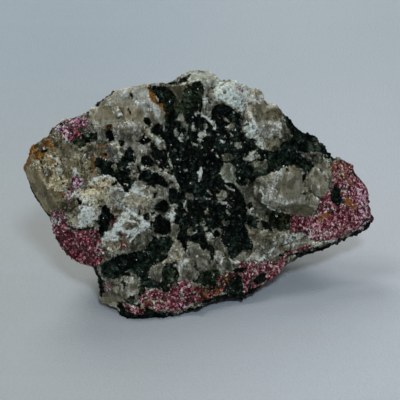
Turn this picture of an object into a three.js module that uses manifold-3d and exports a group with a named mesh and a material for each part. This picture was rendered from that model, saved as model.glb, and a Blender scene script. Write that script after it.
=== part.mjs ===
// Raw lepidolite: one broken lump of pegmatite rock, resting on a small flat of its underside.
// Millimetres, +Z up, origin on the resting flat. The broad fracture face looks towards -Y and leans back.
//
// The lump is one closed skin made of two discs that share a rim. The front disc is the fracture face, and the
// back disc is the body behind it. Both are built in the face's own axes: u to the right, v up along the lean,
// w out of the face. Planes then chip the body into flat fractures, and the floor plane cuts the resting flat.
import * as THREE from "three";
import { ImprovedNoise } from "three/addons/math/ImprovedNoise.js";
import { mergeVertices } from "three/addons/utils/BufferGeometryUtils.js";
import Module from "manifold-3d";

// Driving dimensions, in millimetres and degrees.
const LEAN = 25; // how far the face's v axis leans back from the vertical
const FACE_ORIGIN = new THREE.Vector3(-0.58, -7.18, 25.4); // where the face's axes start, in the part's frame
const FACE_TURN = -0.27; // the face falls back towards its right end, mm per mm of u
const FACE_TIP = -0.11; // and towards its top, mm per mm of v
const FACE_CENTRE = new THREE.Vector2(-1.5, 1.5); // the front disc's centre, as u and v
const BACK_POLE = new THREE.Vector3(1, -5, -40); // the body's rearmost point, as u, v and w
const RINGS = 26; // rings from a disc's centre to the rim
const SECTORS = 7; // ring k has SECTORS * k points
const EVENING = 30; // passes that even out the front disc's triangles
const BACK_SPACING = 1.2; // over 1 sets the back disc's rings closer together near the rim

// The relief all over the lump: cell size and rise of its broken facets, and wavelength and depth of its grain.
const FACE_RELIEF = { facets: [[8, 1.5], [4, 0.9]], grain: [3, 0.4] };
const BODY_RELIEF = { facets: [[12, 3], [5.5, 1.1]], grain: [3.5, 0.5] };
const BODY_INSET = 0.7; // how far that relief is drawn in behind the rim
const FACET_RAMP = 1.8; // width of the ramps between broken facets
const FACET_TILT = 1.8; // how far the facets tilt

// The rim, as u and v, clockwise from the left tip.
const RIM = [
  [-45.2, 7.5], [-44.3, 10], [-43.5, 12.5], [-42.5, 14], [-39.5, 16], [-38.5, 17.5], [-38, 18.5],
  [-35.5, 20.5], [-30, 22], [-28, 24], [-24, 27], [-22, 28.5], [-19.5, 29], [-15.5, 30],
  [-8.5, 30.8], [-6.5, 31.5], [-5, 33], [-3.5, 34.3], [2.8, 34.3], [4.3, 33.3], [5, 31.5], [8, 31.5],
  [11, 31], [13, 30.1], [16.3, 29.9], [17.2, 28.5], [17.5, 26], [20, 26], [21, 24.5], [23, 22.5],
  [25, 19.5], [27.5, 18], [29.5, 17.5], [32, 15.5], [34, 13], [36, 11], [38, 11], [40.5, 9.5],
  [41.7, 7.5], [43.5, 5.5], [44.7, 3.5], [45.3, 1.5], [45.3, -1.5], [46.2, -3.5], [46.5, -5.5],
  [45.2, -7.9], [41.4, -9.7], [37.6, -11.1], [32.3, -13.1], [27.8, -14.3], [24, -15.4], [22, -17.5],
  [20, -20], [17, -22], [14.5, -24], [11.5, -25.5], [8.5, -25.5], [4, -26], [0, -27.5],
  [-4, -29], [-9, -30.2], [-14, -30.8], [-18.6, -30.8], [-20.8, -29.5], [-21.6, -28], [-23.3, -27.2],
  [-25.9, -26.4], [-26.2, -22], [-26.6, -19.5], [-27.6, -16.9], [-31.5, -16], [-35.5, -13],
  [-37.4, -9.5], [-38.6, -4.7], [-40, -2.7], [-43.3, 1.8], [-44.1, 4.5],
];

// Lumps stand out of the face and hollows sink into it: centre u and v, half width, half height, turn, rise.
const LUMPS = [
  [-19, 23, 10, 6.5, 20, 2.2], // smoky quartz, upper left
  [-28, -1.5, 5, 4, 0, 2.0], // cream feldspar block above the left pink lobe
  [-24, 4.5, 5.5, 2.2, -8, 1.6], // feldspar ledge over it
  [-16, 0.5, 5, 2.8, 0, 1.8], // beige quartz
  [-18.5, -5.5, 5.5, 3.4, 0, 1.4], // white feldspar
  [-19, -11, 5.5, 2.4, 25, 1.0], // grey quartz, lower left
  [-1, -15, 4.8, 4.5, 0, 2.2], // quartz block, bottom
  [-6, -13, 2.5, 3.2, 10, 1.8], // its left neighbour
  [21, 4, 8, 6.5, 0, 2.8], // the large right quartz
  [17, 19, 4.5, 6.5, 30, 1.8], // upper right quartz
  [15.5, 27, 2.6, 2.4, 0, 1.4], // its top step
  [7, 27, 4.2, 3.2, 0, 1.6], // albite patch
  [7.5, 7.5, 2.6, 2.6, 0, 1.3], // round quartz grain
  [16, -10, 4, 3.2, 0, 1.2], // lower right quartz
  [22, -9.5, 6, 1.6, 20, 1.0], // pale ledge under it
  [-18.5, -20, 2.8, 2.4, 0, 1.5], // quartz over the lower left facet
  [-11, -0.5, 2.1, 2.1, 0, 1.2], // tourmaline knob
  [-11, -6.5, 2.5, 2.5, 0, 1.3], // tourmaline knob
  [-31.5, -11, 6.5, 4.2, 0, -1.6], // pink lobe under the feldspar
  [-24.5, -4.5, 1.8, 3.4, 15, -1.8], // dark star
  [-1, 9, 6, 12, 0, -1.6], // central tourmaline
  [-20, 9, 6, 2.2, -25, -1.5], // dark band, left
  [-17, -15, 8.5, 2.4, 20, -1.3], // dark band, lower left
  [24, 13, 11, 2.4, -25, -1.4], // dark band, right
  [8.5, -10, 4, 5, 0, -1.0], // dark mass, lower right
  [20, -4, 3.6, 2, -10, -1.4], // olive hollow under the large quartz
  [-40, 13, 1.6, 1.6, 0, -1.2], // rust pocket
  [-36, 5.5, 2.6, 2, 0, -0.9], // porous pocket
];

// Facets that cut the face's edges back: a point u and v on the facet's upper edge, its fall direction, and slope.
const EDGE_FACETS = [
  [-42.2, 7.5, 200, 1.6], // smooth conchoidal facet at the left tip
  [-37, 0, 215, 1.5], // the same facet, lower part
  [-20.5, -24.5, 225, 1.3], // facet under the lower left quartz
  [-2, 31, 90, 1.6], // ledge behind the top edge
  [-14, -28.8, 268, 1.4], // bottom edge, rolled under
  [12, -23.6, 300, 1.4],
  [27, 16, 52, 1.1], // dark slope along the upper right edge
  [44, -2, 0, 1.0], // right tip
];

// Fracture planes that chip the body behind the face: outward normal, and distance from BODY_CENTRE.
const BODY_CENTRE = new THREE.Vector3(0, 3, 25);
const CHIPS = [
  [[-0.1, 0.75, 0.65], 28], // upper back
  [[-0.5, 0.84, 0.2], 22], // back left
  [[0.45, 0.88, 0.15], 21], // back right
  [[0.1, 0.9, -0.42], 20], // lower back
  [[-0.72, 0.2, -0.66], 31], // under the left lobe
  [[-0.8, 0.55, -0.25], 28], // behind the left lobe
  [[0.55, 0.3, -0.78], 24.5], // under the right wing
  [[0.62, 0.45, 0.64], 27], // right shoulder
  [[-0.66, 0.42, 0.62], 28], // left shoulder
].map(([normal, distance]) => new THREE.Plane(new THREE.Vector3(...normal).normalize(), -distance));

const wasm = await Module();
wasm.setup();
const noise = new ImprovedNoise();

const lean = THREE.MathUtils.degToRad(LEAN);
const faceToPart = new THREE.Matrix4()
  .makeBasis(
    new THREE.Vector3(1, 0, 0),
    new THREE.Vector3(0, Math.sin(lean), Math.cos(lean)),
    new THREE.Vector3(0, -Math.cos(lean), Math.sin(lean)),
  )
  .setPosition(FACE_ORIGIN);

// 1 inside the ellipse, 0 outside it, with a steep edge between.
function plateau(u, v, [cu, cv, halfWidth, halfHeight, turn]) {
  const a = THREE.MathUtils.degToRad(turn);
  const du = (u - cu) * Math.cos(a) + (v - cv) * Math.sin(a);
  const dv = (v - cv) * Math.cos(a) - (u - cu) * Math.sin(a);
  const r = Math.hypot(du / halfWidth, dv / halfHeight);
  return 1 - THREE.MathUtils.smoothstep(r, 0.65, 1.2);
}

// Repeatable number from 0 to 1 for a lattice cell.
function cellRandom(x, y, z, channel) {
  const s = Math.sin(x * 127.1 + y * 311.7 + z * 74.7 + channel * 53.3) * 43758.5453;
  return s - Math.floor(s);
}

// Broken facets: space is split into jittered cells, each a plane with its own rise and tilt, blended at the cell
// borders into short ramps.
function facets(p, size, rise) {
  const home = p.toArray().map((c) => Math.floor(c / size));
  const sharpness = (2.75 * size) / FACET_RAMP;
  let total = 0;
  let height = 0;
  for (let i = -1; i <= 1; i++)
    for (let j = -1; j <= 1; j++)
      for (let k = -1; k <= 1; k++) {
        const cell = [home[0] + i, home[1] + j, home[2] + k];
        const away = cell.map((c, axis) => p.getComponent(axis) / size - c - cellRandom(...cell, axis));
        const tilt = away.reduce((sum, d, axis) => sum + d * (cellRandom(...cell, axis + 3) - 0.5), 0);
        const weight = Math.exp(-sharpness * away.reduce((sum, d) => sum + d * d, 0));
        total += weight;
        height += weight * (cellRandom(...cell, 6) - 0.5 + FACET_TILT * tilt);
      }
  return (rise * height) / total;
}

function relief(p, { facets: cells, grain: [wavelength, depth] }) {
  const grain = depth * noise.noise(p.x / wavelength, p.y / wavelength, p.z / wavelength);
  return cells.reduce((sum, [size, rise]) => sum + facets(p, size, rise), grain);
}

// The fracture face as a height over u and v: first its mean plane and the facets at its edges, then all its relief.
function meanHeight(u, v) {
  let edge = 0;
  for (const [fu, fv, direction, slope] of EDGE_FACETS) {
    const a = THREE.MathUtils.degToRad(direction);
    edge = Math.max(edge, slope * ((u - fu) * Math.cos(a) + (v - fv) * Math.sin(a)));
  }
  return FACE_TURN * u + FACE_TIP * v - edge;
}

function faceHeight(u, v) {
  let w = meanHeight(u, v);
  for (const lump of LUMPS) w += lump[5] * plateau(u, v, lump);
  return w + relief(new THREE.Vector3(u, v, 0), FACE_RELIEF);
}

const rimPath = new THREE.Path(RIM.map(([u, v]) => new THREE.Vector2(u, v))).closePath();
const rim = rimPath.getSpacedPoints(SECTORS * RINGS).slice(0, -1);

function rimPoint(share) {
  const at = (share + 1) * rim.length;
  const i = Math.floor(at);
  return rim[i % rim.length].clone().lerp(rim[(i + 1) % rim.length], at - i);
}

// The rim without its small notches, drawn in a little, which is what the body behind it follows.
function bodyPoint(share) {
  const sum = new THREE.Vector2();
  for (let k = -3; k <= 3; k++) sum.add(rimPoint(share + 0.015 * k));
  return FACE_CENTRE.clone().lerp(sum.divideScalar(7), 0.97);
}

function frontPoint({ x, y }) {
  return new THREE.Vector3(x, y, faceHeight(x, y)).applyMatrix4(faceToPart);
}

// From the rim the body runs straight back, then rounds in to its pole like a quarter ellipse. The planes and the
// broken facets then move each point straight to or from the body's centre.
function backPoint(ring, share) {
  const behindRim = THREE.MathUtils.smoothstep(RINGS - ring, 0, 5);
  const rimmed = rimPoint(share);
  const { x, y } = rimmed.clone().lerp(bodyPoint(share), behindRim);
  const w = THREE.MathUtils.lerp(faceHeight(rimmed.x, rimmed.y), meanHeight(x, y), behindRim);
  const turn = (1 - ring / RINGS) ** BACK_SPACING * (Math.PI / 2);
  const inwards = new THREE.Vector3(1 - Math.cos(turn), 1 - Math.cos(turn), Math.sin(turn));
  const p = new THREE.Vector3(x, y, w);
  p.add(BACK_POLE.clone().sub(p).multiply(inwards)).applyMatrix4(faceToPart).sub(BODY_CENTRE);
  let reach = 1;
  for (const plane of CHIPS) reach = Math.min(reach, -plane.constant / Math.max(1e-6, plane.normal.dot(p)));
  p.multiplyScalar(THREE.MathUtils.lerp(1, reach, behindRim));
  return p.setLength(p.length() + (relief(p, BODY_RELIEF) - BODY_INSET) * behindRim).add(BODY_CENTRE);
}

// One disc's points by ring, and its triangles, counted from the centre outwards.
function disc() {
  const first = [0];
  const faces = [];
  for (let ring = 1; ring <= RINGS + 1; ring++) first.push(ring === 1 ? 1 : first[ring - 1] + SECTORS * (ring - 1));
  const index = (ring, i) => first[ring] + (ring ? i % (SECTORS * ring) : 0);
  for (let ring = 1; ring <= RINGS; ring++)
    for (let sector = 0; sector < SECTORS; sector++)
      for (let i = 0; i < ring; i++) {
        const outer = sector * ring + i;
        const inner = sector * (ring - 1) + i;
        faces.push([index(ring, outer), index(ring - 1, inner), index(ring, outer + 1)]);
        if (i < ring - 1) faces.push([index(ring - 1, inner), index(ring - 1, inner + 1), index(ring, outer + 1)]);
      }
  return { first, faces };
}

// The front disc laid flat: rings shrunk from the rim, and then each inner point moved towards its neighbours' mean.
function flatFront({ first, faces }) {
  const flat = [FACE_CENTRE.clone()];
  for (let ring = 1; ring <= RINGS; ring++)
    for (let i = 0; i < SECTORS * ring; i++)
      flat.push(FACE_CENTRE.clone().lerp(rimPoint(i / (SECTORS * ring)), ring / RINGS));
  for (let pass = 0; pass < EVENING; pass++) {
    const sum = flat.map(() => new THREE.Vector3());
    for (const face of faces)
      for (const i of face) for (const j of face) if (i !== j) sum[i].add(new THREE.Vector3(flat[j].x, flat[j].y, 1));
    for (let i = 0; i < first[RINGS]; i++) flat[i].set(sum[i].x / sum[i].z, sum[i].y / sum[i].z);
  }
  return flat;
}

// Both discs and their shared rim as one closed, indexed skin.
function skin() {
  const layout = disc();
  const rimStart = layout.first[RINGS];
  const points = flatFront(layout).map(frontPoint);
  const backStart = points.length;
  for (let ring = 0; ring < RINGS; ring++) {
    const count = Math.max(1, SECTORS * ring);
    for (let i = 0; i < count; i++) points.push(backPoint(ring, i / count));
  }
  const behind = (i) => (i < rimStart ? backStart + i : i);
  const faces = layout.faces.flatMap(([a, b, c]) => [a, b, c, behind(a), behind(c), behind(b)]);
  return new THREE.BufferGeometry().setFromPoints(points).setIndex(faces);
}

// A box round everything under z = 0.
function floorBlock() {
  const box = new THREE.BoxGeometry(200, 200, 60).translate(0, 0, -30);
  box.deleteAttribute("normal");
  box.deleteAttribute("uv");
  return mergeVertices(box);
}

function toSolid(geometry) {
  return new wasm.Manifold(
    new wasm.Mesh({
      numProp: 3,
      vertProperties: new Float32Array(geometry.getAttribute("position").array),
      triVerts: new Uint32Array(geometry.index.array),
    }),
  );
}

function toGeometry(solid) {
  const mesh = solid.getMesh();
  const geometry = new THREE.BufferGeometry();
  geometry.setAttribute("position", new THREE.BufferAttribute(new Float32Array(mesh.vertProperties), 3));
  geometry.setIndex(new THREE.BufferAttribute(new Uint32Array(mesh.triVerts), 1));
  geometry.computeVertexNormals();
  return geometry;
}

// The floor plane cuts the resting flat.
const stone = toSolid(skin()).subtract(toSolid(floorBlock()));

const specimen = new THREE.Mesh(
  toGeometry(stone),
  new THREE.MeshStandardMaterial({ color: 0x8d8880, roughness: 0.6, metalness: 0 }),
);
specimen.name = "lepidolite_specimen";

const part = new THREE.Group();
part.add(specimen);
export default part;
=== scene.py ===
"""Raw lepidolite specimen: a broken lump of pegmatite on a pale cloth.

The rock is a dense copy of the CAD solid with each mineral's own relief. The minerals' outlines are drawn on
the broken front face, and patches in space carry them on over the sides and back. Mica scales, tourmaline
grains, feldspar chips and quartz crumbs are joined meshes of small closed grains set in it.
Lengths are millimetres until a mesh is made. px are pixels of the 400 px picture.
"""
import itertools

import bmesh
import bpy
import numpy as np
from mathutils import Matrix, Vector


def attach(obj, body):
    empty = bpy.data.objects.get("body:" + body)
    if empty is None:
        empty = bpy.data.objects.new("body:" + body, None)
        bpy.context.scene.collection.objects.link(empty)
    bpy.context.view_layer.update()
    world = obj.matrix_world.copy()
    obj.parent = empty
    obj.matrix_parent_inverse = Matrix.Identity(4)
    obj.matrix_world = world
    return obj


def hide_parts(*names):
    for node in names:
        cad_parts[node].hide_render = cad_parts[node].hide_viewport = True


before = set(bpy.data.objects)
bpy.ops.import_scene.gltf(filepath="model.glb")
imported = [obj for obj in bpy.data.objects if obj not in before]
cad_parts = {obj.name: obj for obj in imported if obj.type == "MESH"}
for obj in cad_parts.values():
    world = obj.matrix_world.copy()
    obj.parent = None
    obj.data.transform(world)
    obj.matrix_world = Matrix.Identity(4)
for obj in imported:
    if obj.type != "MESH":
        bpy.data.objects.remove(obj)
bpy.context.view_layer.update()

NODE, BODY, SLOT = "lepidolite_specimen", "root", "pegmatite"
MM = 0.001                                               # metres
QUARTZ, FELDSPAR, MICA, DARK = "quartz", "feldspar", "mica", "dark"
LETTERS = {"Q": QUARTZ, "F": FELDSPAR, "M": MICA, "D": DARK}
OVER_QUARTZ = (FELDSPAR, MICA, DARK)                     # quartz is the ground that these leave

# ---------------------------------------------------------------- the front face's own axes and the picture
LEAN = np.radians(25)                                    # the camera looks down by this much
RIGHT = np.array([1.0, 0.0, 0.0])
UP = np.array([0.0, np.sin(LEAN), np.cos(LEAN)])
OUT = np.array([0.0, -np.cos(LEAN), np.sin(LEAN)])       # from the rock towards the camera
FACE_ORIGIN = np.array([-0.58, -7.18, 25.4])
FACE_TURN, FACE_TIP = -0.27, -0.11                       # the face's mean slope along RIGHT and UP
CAMERA_FAR = 450.0
SENSOR = 36.0
CLIP_NEAR, CLIP_FAR = 0.01, 20.0                         # metres
IMAGE_PX, PX_CENTRE, MM_PER_PX = 400, 200.0, 0.26

# ---------------------------------------------------------------- the mesh
FRONT_EDGE, BACK_EDGE = 0.43, 1.0                        # longest triangle edge
MAX_CUTS = 4                                             # times that an edge is halved
WELD = 1e-6                                              # metres
FLAT_REST = 0.25                                         # below this height the underside keeps its flat
FULL_PIT_NEAR, FULL_PIT_WIDE = 0.10, 0.35                # depth below the points around of a full pit

# ---------------------------------------------------------------- how the minerals meet
PATCH_REACH = 9.0                                        # px beyond an outline that it still bears on
PX_SLIP = np.array([0.0, 0.7])                           # px by which the raised surface shows higher
PX_STEP = 4.0                                            # px over which a patch rises to its full height
OUTSIDE = -4.0                                           # depth inside a mineral where there is none of it
FACE_EDGE, BODY_EDGE, SPOT_EDGE = 0.22, 0.3, 0.2         # half the width of a border's change of tone
BODY_DEPTH = 3.0                                         # deepest that a patch of the body counts
WARP_SIZE, WARP_PX = 2.2, 0.8                            # slow wander of the borders
JAG_SIZE, JAG_PX = 1.25, 2.0                             # grain-sized steps in the borders
RUST_FADE, SMOOTH_FADE = (-0.7, 0.5), (-0.3, 0.6)        # mm inside the outline, from none to full
FRONT_FACING = (-0.08, 0.12)                             # cosine to the camera, from body to face
FRONT_BEHIND, FRONT_WANDER = (3, 10), 3.5                # mm behind the mean face, from face to body

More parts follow.
